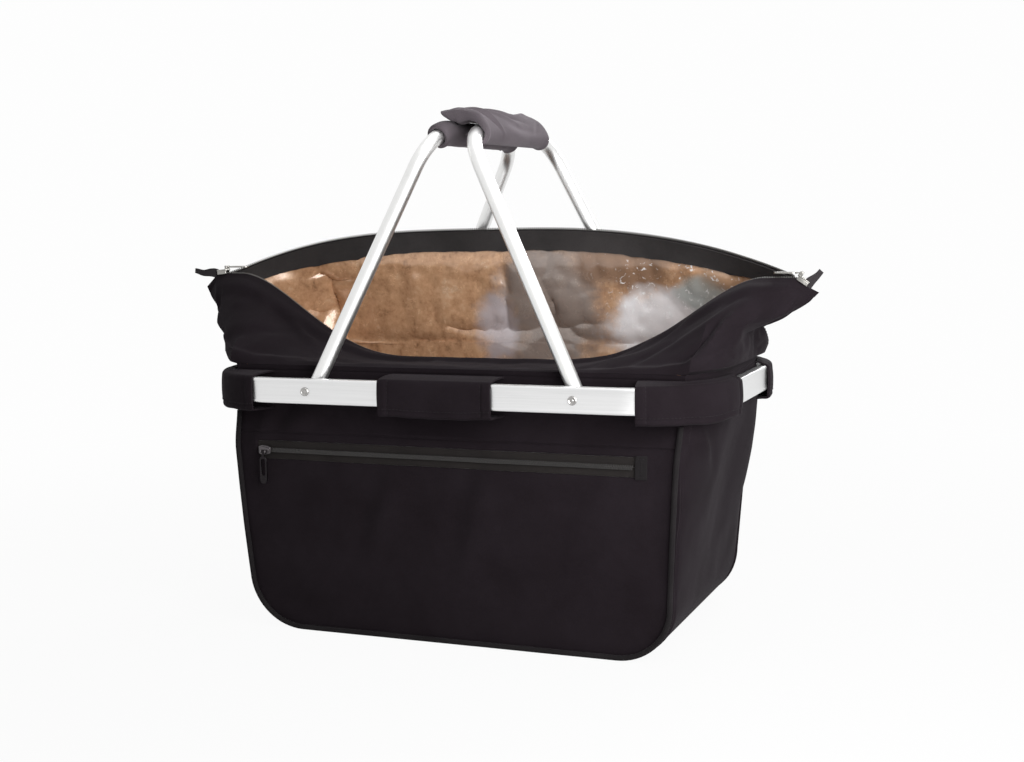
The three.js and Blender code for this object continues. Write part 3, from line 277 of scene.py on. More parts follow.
def tube(sections, closed=False):
    """A solid through a run of like rings of points, capped with flat faces unless it closes."""
    count, sides = sections.shape[:2]
    index = np.arange(count * sides).reshape(count, sides)
    here, following = (index, np.roll(index, -1, 0)) if closed else (index[:-1], index[1:])
    quads = np.stack([here, np.roll(here, -1, 1), np.roll(following, -1, 1), following], -1)
    faces = quads.reshape(-1, 4).tolist()
    if not closed:
        faces += [index[0, ::-1].tolist(), index[-1].tolist()]
    points = sections.reshape(-1, 3)
    return points, facing_out(points, faces)


def grid_uv(points):
    """Distance in mm along the rows from the middle, and up the columns."""
    across = path_along(np.swapaxes(points, 0, 1)).T
    across = across - across[:, [across.shape[1] // 2]]
    return points_at(across, path_along(points)).reshape(-1, 2)


def joined(*parts):
    """Several meshes as one."""
    points, faces, start = [], [], 0
    for part_points, part_faces in parts:
        points.append(part_points)
        faces += [[i + start for i in face] for face in part_faces]
        start += len(part_points)
    return np.concatenate(points), faces


def piece(name, solid, finish, node=None, body="bag", uv=None, angle=40):
    """A mesh object with its finish, which rides on a body and may stand for a CAD node."""
    points, faces = solid
    mesh = bpy.data.meshes.new(name)
    mesh.from_pydata((points * MM).tolist(), [], faces)
    mesh.update()
    if uv is not None:
        corner = np.empty(len(mesh.loops), int)
        mesh.loops.foreach_get("vertex_index", corner)
        layer = mesh.uv_layers.new(name="weave")
        layer.uv.foreach_set("vector", uv[corner].astype(np.float32).ravel())
    mesh.shade_smooth()
    mesh.set_sharp_from_angle(angle=math.radians(angle))
    mesh.materials.append(finish)
    made = bpy.data.objects.new(name, mesh)
    bpy.context.scene.collection.objects.link(made)
    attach(made, body)
    if node:
        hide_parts(node)
    return made


def sheet_piece(name, outer, inner, finish, node=None, body="bag", keep=None, angle=40):
    uv = grid_uv(outer)
    solid = sheet(outer, inner, keep)
    return piece(name, solid, finish, node, body, np.concatenate([uv, uv]), angle)


def padded_piece(name, outer, inner, node, body):
    made = sheet_piece(name, outer, inner, GRIP, node, body, angle=SOFT_ANGLE)


def grid_normals(points):
    along = np.gradient(points, axis=1)
    up = np.gradient(points, axis=0)
    return unit(np.cross(along, up))


def noise_field(points, scale, seed, octaves=3):
    """Smooth noise in -1..1 at points in mm; scale is the size of its largest lumps."""
    flat = points.reshape(-1, 3) / scale + seed
    made = [noise.fractal(Vector(p), 0.9, 2.1, octaves) for p in flat]
    return np.array(made).reshape(points.shape[:-1])


def folds(a, b, creases):
    """Height of a set of soft creases: (a, b, angle in degrees, half length, half width, height)."""
    total = np.zeros(np.broadcast(a, b).shape)
    for a0, b0, angle, length, width, height in creases:
        c, s = math.cos(math.radians(angle)), math.sin(math.radians(angle))
        along = (a - a0) * c + (b - b0) * s
        across = (b - b0) * c - (a - a0) * s
        total = total + height * bump(along, length) * bump(across, width)
    return total


# The cloth simulation. shrink_min is less than 0, so the cloth is longer than its grid and folds.
SETTLE_FRAMES = 16
CLOTH_SETTINGS = dict(
    quality=6, mass=0.2, air_damping=2.0, tension_stiffness=20, compression_stiffness=20,
    shear_stiffness=10, bending_stiffness=6.0, vertex_group_mass="held", shrink_min=-0.03,
)
CLOTH_GRAVITY = 0.3
CLOTH_CAP = 5.0


def settled(grid, held):
    """The grid after a cloth simulation between its held points, moved no further than the cap."""
    rows, columns = grid.shape[:2]
    cells = grid_cells(rows, columns)
    mesh = bpy.data.meshes.new("cloth_to_settle")
    mesh.from_pydata((grid.reshape(-1, 3) * MM).tolist(), [], cells.reshape(-1, 4).tolist())
    made = bpy.data.objects.new("cloth_to_settle", mesh)
    scene = bpy.context.scene
    scene.collection.objects.link(made)
    group = made.vertex_groups.new(name="held")
    for number, share in enumerate(held.ravel().tolist()):
        if share > 0:
            group.add([number], share, "REPLACE")
    cloth = made.modifiers.new("cloth", "CLOTH")
    for key, value in CLOTH_SETTINGS.items():
        setattr(cloth.settings, key, value)
    cloth.settings.effector_weights.gravity = CLOTH_GRAVITY
    cloth.collision_settings.use_collision = False
    cloth.point_cache.frame_start = 1
    cloth.point_cache.frame_end = SETTLE_FRAMES
    for number in range(1, SETTLE_FRAMES + 1):
        scene.frame_set(number)
    shown = made.evaluated_get(bpy.context.evaluated_depsgraph_get())
    moved = np.empty(rows * columns * 3)
    shown.data.vertices.foreach_get("co", moved)
    scene.frame_set(1)
    bpy.data.objects.remove(made)
    bpy.data.meshes.remove(mesh)
    shift = moved.reshape(grid.shape) / MM - grid
    size = np.linalg.norm(shift, axis=-1, keepdims=True)
    return grid + shift * CLOTH_CAP * np.tanh(size / CLOTH_CAP) / np.maximum(size, 1e-9)


# Materials.


def add_node(tree, kind, inputs=None, **settings):
    made = tree.nodes.new(kind)
    for name, value in settings.items():
        setattr(made, name, value)
    for key, value in (inputs or {}).items():
        socket = made.inputs[key]
        if isinstance(value, bpy.types.NodeSocket):
            tree.links.new(value, socket)
        else:
            socket.default_value = value
    return made


def colour(value):
    """A colour written as 0..255 display values, as the shader's linear colour."""
    shares = [v / 255 for v in value]
    linear = [v / 12.92 if v <= 0.04045 else ((v + 0.055) / 1.055) ** 2.4 for v in shares]
    return (*linear, 1.0)


def new_material(name, **sockets):
    material = bpy.data.materials.new(name)
    material.use_nodes = True
    tree = material.node_tree
    shader = tree.nodes["Principled BSDF"]
    for key, value in sockets.items():
        shader.inputs[key.replace("_", " ")].default_value = value
    return material, tree, shader


def feed(tree, shader, key, value):
    tree.links.new(value, shader.inputs[key])


def length_of(tree, vector):
    return add_node(tree, "ShaderNodeVectorMath", {0: vector}, operation="LENGTH").outputs["Value"]


def eased(tree, value, start, stop, low, high):
    """A value carried smoothly from low at start to high at stop."""
    inputs = {"Value": value, "From Min": start, "From Max": stop, "To Min": low, "To Max": high}
    made = add_node(tree, "ShaderNodeMapRange", inputs, interpolation_type="SMOOTHSTEP")
    return made.outputs["Result"]


def mapped(tree, source, scale):
    return add_node(tree, "ShaderNodeMapping", {"Vector": source, "Scale": scale}).outputs["Vector"]


def place(tree):
    """The point in mm on the object."""
    made = add_node(tree, "ShaderNodeTexCoord")
    return mapped(tree, made.outputs["Object"], (1 / MM, 1 / MM, 1 / MM))


def on_cloth(tree):
    """Distances in mm along and up the cloth."""
    return add_node(tree, "ShaderNodeUVMap", uv_map="weave").outputs["UV"]


def maths(tree, operation, a, b=0.0):
    return add_node(tree, "ShaderNodeMath", {0: a, 1: b}, operation=operation).outputs[0]


def plus(tree, a, b):
    return maths(tree, "ADD", a, b)


def minus(tree, a, b):
    return maths(tree, "SUBTRACT", a, b)


def times(tree, a, b):
    return maths(tree, "MULTIPLY", a, b)


def noise_at(tree, vector, scale, detail=3.0, roughness=0.6):
    made = add_node(
        tree,
        "ShaderNodeTexNoise",
        {"Vector": vector, "Scale": scale, "Detail": detail, "Roughness": roughness},
    )
    return made.outputs["Fac"]


def ramp(tree, value, *stops):
    made = add_node(tree, "ShaderNodeValToRGB", {"Fac": value})
    band = made.color_ramp
    while len(band.elements) < len(stops):
        band.elements.new(0.5)
    for element, (position, tint) in zip(band.elements, stops):
        element.position = position
        element.color = colour(tint)
    return made.outputs["Color"]


def bumped(tree, shader, layers):
    """Sets the shader's normal from layers of height, distance in mm and strength."""
    normal = None
    for height, distance, strength in layers:
        inputs = {"Height": height, "Distance": distance * MM, "Strength": strength}
        if normal is not None:
            inputs["Normal"] = normal
        normal = add_node(tree, "ShaderNodeBump", inputs).outputs["Normal"]
    feed(tree, shader, "Normal", normal)


def weave_height(tree, vector, pitch):
    """A plain weave: threads that pass over and under each other."""
    parts = add_node(tree, "ShaderNodeSeparateXYZ", {"Vector": vector})
    turn = 2 * math.pi / pitch
    a = maths(tree, "SINE", times(tree, parts.outputs["X"], turn))
    b = maths(tree, "SINE", times(tree, parts.outputs["Y"], turn))
    over = times(tree, a, b)
    return plus(tree, times(tree, over, 0.5), 0.5)


def cloth_material(name, dark, light, pitch, grain=0.12, roughness=0.85, sheen=0.2):
    """Woven cloth: dark and light are the ends of its colour variation."""
    material, tree, shader = new_material(
        name,
        Roughness=roughness,
        Sheen_Weight=sheen,
        Sheen_Roughness=0.45,
        Sheen_Tint=(0.75, 0.7, 0.75, 1.0),
        Specular_IOR_Level=0.04,
    )
    at = on_cloth(tree)
    spot = place(tree)
    mottle = noise_at(tree, spot, 0.02, 4.0)
    fine = noise_at(tree, spot, 0.9, 2.0)
    weave = weave_height(tree, at, pitch)
    thread = times(tree, weave, grain)
    mixed = plus(tree, times(tree, mottle, 0.6), thread)
    mixed = plus(tree, mixed, times(tree, fine, 0.3))
    tint = ramp(tree, mixed, (0.3, dark), (0.75, light))
    feed(tree, shader, "Base Color", tint)
    bumped(tree, shader, [(weave, 0.12, 0.5), (fine, 0.15, 0.35), (mottle, 1.0, 0.2)])
    return material


def metal_material(name, tint, roughness, streak, worn=0.06, shading=0.86, depth=0.02):
    """Metal with fine streaks, in 1/mm along X, Y and Z; shading is how dark a streak may be."""
    material, tree, shader = new_material(name, Metallic=1.0, Roughness=roughness)
    spot = place(tree)
    streaks = noise_at(tree, mapped(tree, spot, streak), 1.0, 5.0, 0.7)
    cloud = noise_at(tree, spot, 0.03, 3.0)
    rough = plus(tree, times(tree, streaks, worn * 2), roughness - worn)
    rough = plus(tree, rough, times(tree, cloud, worn))
    feed(tree, shader, "Roughness", rough)
    darker = tuple(shading * v for v in tint)
    shade = ramp(tree, streaks, (0.25, darker), (0.75, tint))
    feed(tree, shader, "Base Color", shade)
    bumped(tree, shader, [(streaks, depth, 0.25)])
    return material


def plastic_material(name, tint, roughness, texture=0.4):
    material, tree, shader = new_material(name, Roughness=roughness)
    spot = place(tree)
    grain = noise_at(tree, spot, 1.4, 3.0)
    darker = tuple(0.8 * v for v in tint)
    shade = ramp(tree, grain, (0.3, darker), (0.7, tint))
    feed(tree, shader, "Base Color", shade)
    bumped(tree, shader, [(grain, 0.08, texture)])
    return material


def patch(tree, spot, centre, radii, bend):
    """1 in a soft spot about an x and z in mm, 0 away from it; bend makes its edge uneven."""
    scale = (1 / radii[0], 0.0, 1 / radii[1])
    moved = add_node(
        tree,
        "ShaderNodeMapping",
        {"Vector": spot, "Scale": scale, "Location": (-centre[0] * scale[0], 0.0, -centre[1] * scale[2])},
    ).outputs["Vector"]
    away = length_of(tree, moved)
    away = plus(tree, away, times(tree, minus(tree, bend, 0.5), 1.6))
    return eased(tree, away, 0.55, 1.15, 1.0, 0.0)


def blended(tree, share, a, b):
    return add_node(tree, "ShaderNodeMix", {0: share, 6: a, 7: colour(b)}, data_type="RGBA").outputs[2]


# Painted reflections on the foil, as colour patches at fixed places: x, z, half width and half height in mm,
# colour.
FOIL_PAINTED_REFLECTIONS = [
    (18, 282, 74, 96, (130, 122, 118)),
    (96, 322, 62, 30, (132, 104, 84)),
    (-40, 262, 26, 40, (186, 178, 182)),
    (138, 262, 72, 38, (250, 249, 252)),
    (178, 296, 30, 17, (178, 184, 181)),
    (212, 314, 34, 18, (190, 154, 124)),
]
# Area of the painted glints, where the film is crumpled: x, z, half width and half height in mm.
PAINTED_GLINT_AREA = (150, 290, 90, 70)


def painted_glints(tree, spot, bend):
    """Painted glints: thin white marks along lines of a fine noise, standing for glints on the sharpest
    creases of the film.
    """
    fine = noise_at(tree, spot, 0.11, 2.0, 0.5)
    line = maths(tree, "ABSOLUTE", minus(tree, fine, 0.5))
    line = minus(tree, 1.0, times(tree, line, 26.0))
    broken = times(tree, minus(tree, noise_at(tree, spot, 0.16, 2.0), 0.54), 12.0)
    marks = times(tree, maths(tree, "MAXIMUM", line, 0.0), maths(tree, "MAXIMUM", broken, 0.0))
    x, z, width, height = PAINTED_GLINT_AREA
    marks = times(tree, marks, patch(tree, spot, (x, z), (width, height), bend))
    return maths(tree, "MINIMUM", marks, 0.9)


def foil_material():
    """Metallised film: creased and glossy, brown with random mottle, and with painted reflections: paler,
    greyer and white patches at fixed places, and painted glints.
    """
    material, tree, shader = new_material(
        "foil", Metallic=0.1, Coat_Weight=0.7, Coat_Roughness=0.1, Specular_IOR_Level=0.6
    )
    spot = place(tree)
    big = noise_at(tree, spot, 0.016, 3.0)
    mid = noise_at(tree, spot, 0.07, 4.0, 0.65)
    fine = noise_at(tree, spot, 0.22, 3.0, 0.6)
    broad = noise_at(tree, mapped(tree, spot, (1.6, 1.0, 0.6)), 0.03, 4.0, 0.7)
    mix = plus(tree, times(tree, mid, 0.3), times(tree, fine, 0.3))
    mix = plus(tree, mix, times(tree, broad, 0.4))
    shade = ramp(
        tree,
        mix,
        (0.34, (132, 98, 72)),
        (0.45, (182, 140, 106)),
        (0.55, (200, 158, 122)),
        (0.7, (214, 184, 156)),
    )
    bend = plus(tree, times(tree, big, 0.7), times(tree, mid, 0.3))
    # Painted reflections: soft patches of fixed colour mixed into the base colour.
    for x, z, width, height, tint in FOIL_PAINTED_REFLECTIONS:
        share = patch(tree, spot, (x, z), (width, height), bend)
        shade = blended(tree, times(tree, share, 0.88), shade, tint)
    # Painted glints: white marks mixed into the base colour.
    shade = blended(tree, painted_glints(tree, spot, bend), shade, (252, 252, 252))
    feed(tree, shader, "Base Color", shade)
    rough = plus(tree, times(tree, mid, 0.26), 0.12)
    feed(tree, shader, "Roughness", rough)
    bumped(tree, shader, [(mid, 1.0, 0.4), (fine, 0.25, 0.3)])
    return material


OUTER = cloth_material("outer_fabric", (22, 17, 20), (33, 28, 32), 1.1, sheen=0.03)
TRIM = cloth_material("trim_fabric", (22, 20, 21), (36, 34, 35), 0.8, sheen=0.05)
TAPE = cloth_material("zip_tape", (27, 25, 25), (41, 38, 37), 0.9, 0.2, sheen=0.04)
BAND = cloth_material("rim_band", (43, 41, 41), (63, 60, 60), 0.9, 0.2, sheen=0.06)
TAB_CLOTH = cloth_material("zip_tab_cloth", (40, 37, 39), (58, 55, 57), 0.8, 0.2, sheen=0.12)
GRIP = cloth_material("grip_fabric", (70, 64, 68), (100, 93, 98), 1.2, 0.2, 0.9, 0.2)
THREAD = cloth_material("thread", (24, 21, 23), (44, 40, 43), 0.5, sheen=0.05)
ALUMINIUM = metal_material("satin_aluminium", (232, 232, 232), 0.34, (0.015, 0.5, 0.9), 0.04, 0.95, 0.006)
TUBE_METAL = metal_material("satin_tube", (236, 236, 235), 0.38, (0.1, 0.1, 0.1), 0.03, 0.97, 0.004)
NICKEL = metal_material("nickel", (158, 156, 152), 0.24, (0.5, 0.5, 0.5), 0.04, 0.9, 0.01)
RIVET_STEEL = metal_material("rivet_steel", (178, 176, 174), 0.24, (0.5, 0.5, 0.5), 0.04, 0.9, 0.01)
GUNMETAL = metal_material("gunmetal", (44, 41, 43), 0.3, (0.5, 0.5, 0.5), 0.08)
SLIDER_METAL = metal_material("slider_metal", (96, 92, 94), 0.3, (0.5, 0.5, 0.5), 0.08)
TEETH = plastic_material("zip_teeth", (92, 90, 88), 0.4)
POCKET_TEETH_PLASTIC = plastic_material("pocket_zip_teeth", (52, 50, 49), 0.4)
FOIL = foil_material()
FOAM_SHEET = plastic_material("foam_sheet", (168, 168, 166), 0.95, 0.8)
BOARD = plastic_material("base_board", (84, 84, 84), 0.6)
NYLON = plastic_material("nylon", (214, 212, 206), 0.45)


# Shape of the bag body.


def piping_x(z):
    return lerp(panel_foot_half, panel_top_half, clamp01(z / wall_start_z))


bottom_half_length = piping_x(BOTTOM_CORNER) - BOTTOM_CORNER


def half_depth(z):
    low = lerp(bottom_half_depth, belly_half_depth, np.sin(math.pi / 2 * clamp01(z / BELLY_Z)))
    t = (z - BELLY_Z) / (wall_start_z - BELLY_Z)
    return np.where(z <= BELLY_Z, low, lerp(belly_half_depth, wall_half_depth, smooth(t)))


def end_bulge(z):
    t = clamp01((z - BOTTOM_CORNER / 2) / (wall_start_z - BOTTOM_CORNER / 2))
    return (body_end_x - panel_top_half) * t**END_BULGE_RISE


def bulge_at(share):
    return 1 - np.abs(share) ** END_BULGE_POWER


def profile(inset, floor, top, step):
    """x and z along the side profile: the flat bottom's end, round the corner and up."""
    radius = BOTTOM_CORNER - inset
    angle = np.linspace(0, math.pi / 2, 18)
    arc_x = bottom_half_length + radius * np.sin(angle)
    arc_z = floor + radius * (1 - np.cos(angle))
    z = np.linspace(arc_z[-1], top, max(2, int((top - arc_z[-1]) / step)) + 1)[1:]
    return np.concatenate([arc_x, piping_x(z) - inset]), np.concatenate([arc_z, z])


def with_lines(values, lines, spread=(-2.4, -1.2, -0.4, 0.4, 1.2, 2.4)):
    """The values, with extra ones close round each line."""
    extra = [line + s for line in lines for s in (0.0, *spread)]
    extra = [v for v in extra if values.min() < v < values.max()]
    made = np.sort(np.concatenate([values, extra]))
    return made[np.concatenate([[True], np.diff(made) > 1e-4])]


# Soft creases of the front panel: x, z, angle, half length, half width, height.
FRONT_CREASES = [
    (-138, 196, 26, 46, 8, 5.0),
    (-160, 196, 64, 18, 9, -4.6),
    (-104, 190, -12, 44, 8, -3.0),
    (-182, 186, 70, 26, 8, 2.6),
    (-40, 190, 0, 60, 10, -1.0),
    (60, 196, -3, 70, 9, 1.6),
    (140, 194, 8, 40, 8, -1.4),
    (-62, 112, 66, 40, 11, 2.0),
    (-80, 108, 70, 40, 10, -1.8),
    (24, 110, 72, 44, 12, 2.0),
    (8, 104, 74, 44, 11, -1.8),
    (105, 112, 80, 48, 11, -1.5),
    (-150, 140, 70, 30, 16, -1.0),
    (-60, 128, 88, 32, 20, 0.7),
    (150, 60, 62, 40, 18, -1.2),
    (-130, 40, -50, 44, 18, 1.0),
    (185, 120, 92, 60, 7, -0.8),
]
BACK_CREASES = [(-a, b, -angle, c, d, e * 1.2) for a, b, angle, c, d, e in FRONT_CREASES]


# How far from its seams a wall's cloth is held flat, in mm.
HELD_AT_PIPING = 22
HELD_AT_BOTTOM = 26
HELD_AT_SEAM = 24
PIPING_COVER_TOP = 206


def wall_rise(side, x, z):
    """How far a long wall stands out from its plain shape."""
    points = points_at(x, side * 100.0, z)
    soft = 0.9 * noise_field(points, 90.0, 3.7) + 0.35 * noise_field(points, 28.0, 11.3, 2)
    rise = folds(x, z, FRONT_CREASES if side < 0 else BACK_CREASES) + soft
    edge = piping_x(z) - np.abs(x)
    held = smooth(edge / HELD_AT_PIPING) * smooth(z / HELD_AT_BOTTOM) * smooth((seam_z - z) / HELD_AT_SEAM)
    drawn_in = 1.1 * bump(edge, 2.2) * under_ring(z)
    return rise * held - drawn_in - 0.8 * bump(z - wall_seam_z, 0.8)


def under_ring(z):
    """1 where the piping covers a wall's edge, 0 above it."""
    return smooth((PIPING_COVER_TOP - z) / 8)


def long_wall(side, inset, x, z, layer_share=1.0):
    """Points of the front or back wall at an inset."""
    depth = half_depth(z) - inset + layer_share * wall_rise(side, x, z)
    return points_at(x, side * depth, z)


def long_grid(inset, floor, top, step, lines_z=(), lines_x=()):
    """x and z of a long wall's grid. Lines are straight rows and columns with close neighbours."""
    limit_x, z = profile(inset, floor, top, step)
    if len(lines_z):
        finer = with_lines(z, lines_z)
        limit_x, z = np.interp(finer, z, limit_x), finer
    count = int(2 * piping_x(BELLY_Z) / step)
    at_belly = np.linspace(-1, 1, count) * (piping_x(BELLY_Z) - inset)
    if len(lines_x):
        at_belly = with_lines(at_belly, lines_x)
    share = at_belly / (piping_x(BELLY_Z) - inset)
    loose = share[None, :] * limit_x[:, None]
    straight = smooth((z - 100) / 40) * smooth((205 - z) / 20)
    x = lerp(loose, np.broadcast_to(at_belly, loose.shape), straight[:, None])
    return x, np.broadcast_to(z[:, None], x.shape)


PANEL_STEP = 4.0


def front_panel():
    x, z = long_grid(
        0, 0, seam_z - 0.4, PANEL_STEP,
        (POCKET["bottom"], POCKET["top"], POCKET_SEAM_Z, wall_seam_z),
        (POCKET["left"], POCKET["right"]),
    )
    outer = long_wall(-1, 0, x, z)
    slot_x = np.maximum(POCKET["left"] - x, x - POCKET["right"])
    slot_z = np.maximum(POCKET["bottom"] - z, z - POCKET["top"])
    apart = np.maximum(slot_x, slot_z)
    lip = 0.9 * bump(np.maximum(apart, 0), 0.9)
    groove = 0.9 * bump(z - POCKET_SEAM_Z, 0.8) - 0.7 * bump(z - POCKET_SEAM_Z - 2.4, 1.4)
    outer[..., 1] += lip + groove
    cell_x = (x[:-1, :-1] + x[1:, 1:]) / 2
    cell_z = (z[:-1, :-1] + z[1:, 1:]) / 2
    inside = (cell_x > POCKET["left"]) & (cell_x < POCKET["right"])
    inside &= (cell_z > POCKET["bottom"]) & (cell_z < POCKET["top"])
    inner = outer + [0, FABRIC, 0]
    sheet_piece("front_panel_cloth", outer, inner, OUTER, "front_panel", keep=~inside)


def back_panel():
    x, z = long_grid(0, 0, seam_z - 0.4, PANEL_STEP, (wall_seam_z,))
    outer = long_wall(1, 0, x, z)
    sheet_piece("back_panel_cloth", outer, outer - [0, FABRIC, 0], OUTER, "back_panel")


# Creases of the side panels: y, z, angle, half length, half width, height.
SIDE_CREASES = [
    (-86, 184, -50, 24, 5, 2.4),
    (-74, 178, -54, 26, 6, -2.0),
    (-50, 150, 80, 40, 14, 1.0),
    (0, 120, 88, 60, 26, -1.6),
    (60, 156, 90, 50, 34, 5.0),
    (78, 100, 96, 50, 16, 1.6),
    (0, 60, 90, 40, 30, 1.0),
]


def end_grid(side, inset, floor, top, depth_inset, step, lines_z=()):
    x, z = profile(inset, floor, top, step)
    if len(lines_z):
        finer = with_lines(z, lines_z)
        x, z = np.interp(finer, z, x), finer
    share = np.linspace(-1, 1, int(2 * belly_half_depth / step))
    near_edge = 1 - np.array([1.2, 2.4, 3.6, 4.8, 6.0, 7.5]) / belly_half_depth
    share = np.unique(np.concatenate([share, near_edge, -near_edge]))
    reach = half_depth(z) - depth_inset
    y = share[None, :] * reach[:, None]
    z = np.broadcast_to(z[:, None], y.shape)
    out = x[:, None] + end_bulge(z) * bulge_at(share)[None, :]
    points = points_at(side * out, y, z)
    edge = reach[:, None] - np.abs(y)
    soft = 1.0 * noise_field(points, 80.0, 5.1) + 0.3 * noise_field(points, 26.0, 1.9, 2)
    rise = folds(y, z, SIDE_CREASES) + soft
    rise = rise * smooth(edge / 18) * smooth((z - 20) / 40) * smooth((seam_z - z) / HELD_AT_SEAM)
    binding = 1.3 * bump(edge - 4.4, 1.5) - 0.8 * bump(edge - 7.4, 1.3) - 1.0 * bump(edge, 1.6)
    seam = 0.8 * bump(z - wall_seam_z, 0.8)
    points[..., 0] += side * (rise + binding * smooth((z - 8) / 20) * under_ring(z) - seam)
    return points


def side_panels():
    for side, end in ENDS:
        outer = end_grid(side, 0, 0, seam_z - 0.2, GAP, PANEL_STEP, (wall_seam_z,))
        inner = outer - FABRIC * side_out(side, outer)
        sheet_piece(f"side_panel_cloth_{end}", outer, inner, OUTER, f"side_panel_{end}")


def side_out(side, points):
    normal = grid_normals(points)
    facing = np.sign(normal[..., 0] * side)[..., None]
    facing = np.where(facing == 0, 1.0, facing)
    return normal * facing


COARSE_STEP = 9.0


def bottom_panel():
    x = np.linspace(-bottom_half_length, bottom_half_length, 60)
    y = np.linspace(-1, 1, 44) * (bottom_half_depth - 0.4)
    x, y = np.meshgrid(x, y)
    lower = points_at(x, y, 0.0)
    upper = lower + np.array([0, 0, FABRIC])
    sheet_piece("bottom_panel_cloth", lower, upper, OUTER, "bottom_panel")


def inner_layers():
    """Foam behind each wall, and the pocket lining."""
    for side, face in SIDES:
        start = foam_start + (POCKET_LINING + GAP if side < 0 else 0)
        x, z = long_grid(foam_start, foam_start, inner_top, COARSE_STEP)
        outer, inner = long_wall(side, start, x, z), long_wall(side, foam_start + FOAM, x, z)
        sheet_piece(f"foam_sheet_{face}", outer, inner, FOAM_SHEET, f"foam_{face}")
    for side, end in ENDS:
        outer, inner = (
            end_grid(side, depth, depth, inner_top, liner_start, COARSE_STEP)
            for depth in (foam_start, foam_start + FOAM)
        )
        sheet_piece(f"foam_sheet_{end}", outer, inner, FOAM_SHEET, f"foam_{end}")
    low, high, x, y = box_grid("foam_bottom", (0, 1), (30, 22))
    lower = points_at(x, y, low[2])
    upper = lower + [0, 0, high[2] - low[2]]
    sheet_piece("foam_sheet_bottom", lower, upper, FOAM_SHEET, "foam_bottom")
    low, high, x, z = box_grid("pocket_lining", (0, 2), (60, 24))
    outer, inner = long_wall(-1, foam_start, x, z), long_wall(-1, foam_start + POCKET_LINING, x, z)
    sheet_piece("pocket_lining_cloth", outer, inner, TAPE, "pocket_lining")


def crinkle(points, strength=1.0):
    """Creased film: sharp ridges between flat facets, always towards the inside."""
    broad = np.abs(noise_field(points, 70.0, 2.3, 2))
    middle = np.abs(noise_field(points, 26.0, 7.7, 2))
    fine = np.abs(noise_field(points, 9.0, 4.4, 2))
    return strength * (3.0 * broad + 1.8 * middle + 0.5 * fine)


TUB_STEP = 3.2
TUB_LAP = 3.0
TUB_END_LAP = 1.5


def liner_tub():
    layers = []
    for side in (-1, 1):
        top = inner_top if side < 0 else seam_z + TUB_LAP
        x, z = long_grid(liner_start, liner_floor, top, TUB_STEP)
        outer = long_wall(side, liner_start, x, z)
        held = smooth((piping_x(z) - liner_start - np.abs(x)) / 15) * smooth((z - liner_floor) / 15)
        inner = outer.copy()
        inner[..., 1] -= side * (LINER + crinkle(outer) * held)
        layers.append((outer, inner))
    for side in (-1, 1):
        outer = end_grid(side, liner_start, liner_floor, seam_z + TUB_END_LAP, liner_start, TUB_STEP)
        held = smooth((half_depth(outer[..., 2]) - liner_start - np.abs(outer[..., 1])) / 15)
        held = held * smooth((seam_z + TUB_END_LAP - outer[..., 2]) / 20)
        depth = LINER + crinkle(outer) * held
        layers.append((outer, outer - depth[..., None] * side_out(side, outer)))
    half = bottom_half_depth - liner_start
    x, y = np.meshgrid(
        np.linspace(-bottom_half_length, bottom_half_length, 80), np.linspace(-half, half, 58)
    )
    lower = points_at(x, y, liner_floor)
    upper = lower.copy()
    upper[..., 2] += LINER + 0.25 * crinkle(lower) * smooth((half - np.abs(y)) / 12)
    layers.append((lower, upper))
    maps = np.concatenate([grid_uv(layer[0]) for layer in layers for _ in range(2)])
    solid = joined(*[sheet(*layer) for layer in layers])
    piece("liner_tub_film", solid, FOIL, "liner_tub", uv=maps, angle=SOFT_ANGLE)


# Shape of the mouth.


def ends_value(x, key):
    return np.where(x < 0, MOUTH[-1][key], MOUTH[1][key])


def open_rim(side, x):
    closed_x, closed_z = ends_value(x, "closed_x"), ends_value(x, "closed_z")
    share = clamp01(np.abs(x) / closed_x)
    closed_y = FABRIC + GAP / 2
    if side > 0:
        y = lerp(closed_y, BACK_RIM_Y, (1 - share**2) ** BACK_RIM_ROUNDING)
        z = lerp(BACK_RIM_Z, closed_z, share ** ends_value(x, "back_power"))
        return points_at(x, y, z)
    flat, top = ends_value(x, "front_flat"), ends_value(x, "front_top")
    climb = clamp01((np.abs(x) - flat) / (top - flat))
    rise = smooth(climb ** ends_value(x, "front_power"))
    y = -lerp(FRONT_RIM_Y, closed_y, share**2)
    return points_at(x, y, lerp(FRONT_RIM_Z, closed_z, rise))


def on_closed_zip(end, out, up):
    """A place on the closed stretch: out along it from its inner end, and up from the rim."""
    sizes = MOUTH[end]
    tilt = math.radians(sizes["tilt"])
    x = end * (sizes["closed_x"] + out * math.cos(tilt) + up * math.sin(tilt))
    z = sizes["closed_z"] - out * math.sin(tilt) + up * math.cos(tilt)
    return points_at(x, 0.0, z)


END_COLUMNS = 28
MIDDLE_COLUMNS = 112
END_TIP_SHARE = 0.25
END_CLOSED_SHARE = 0.5


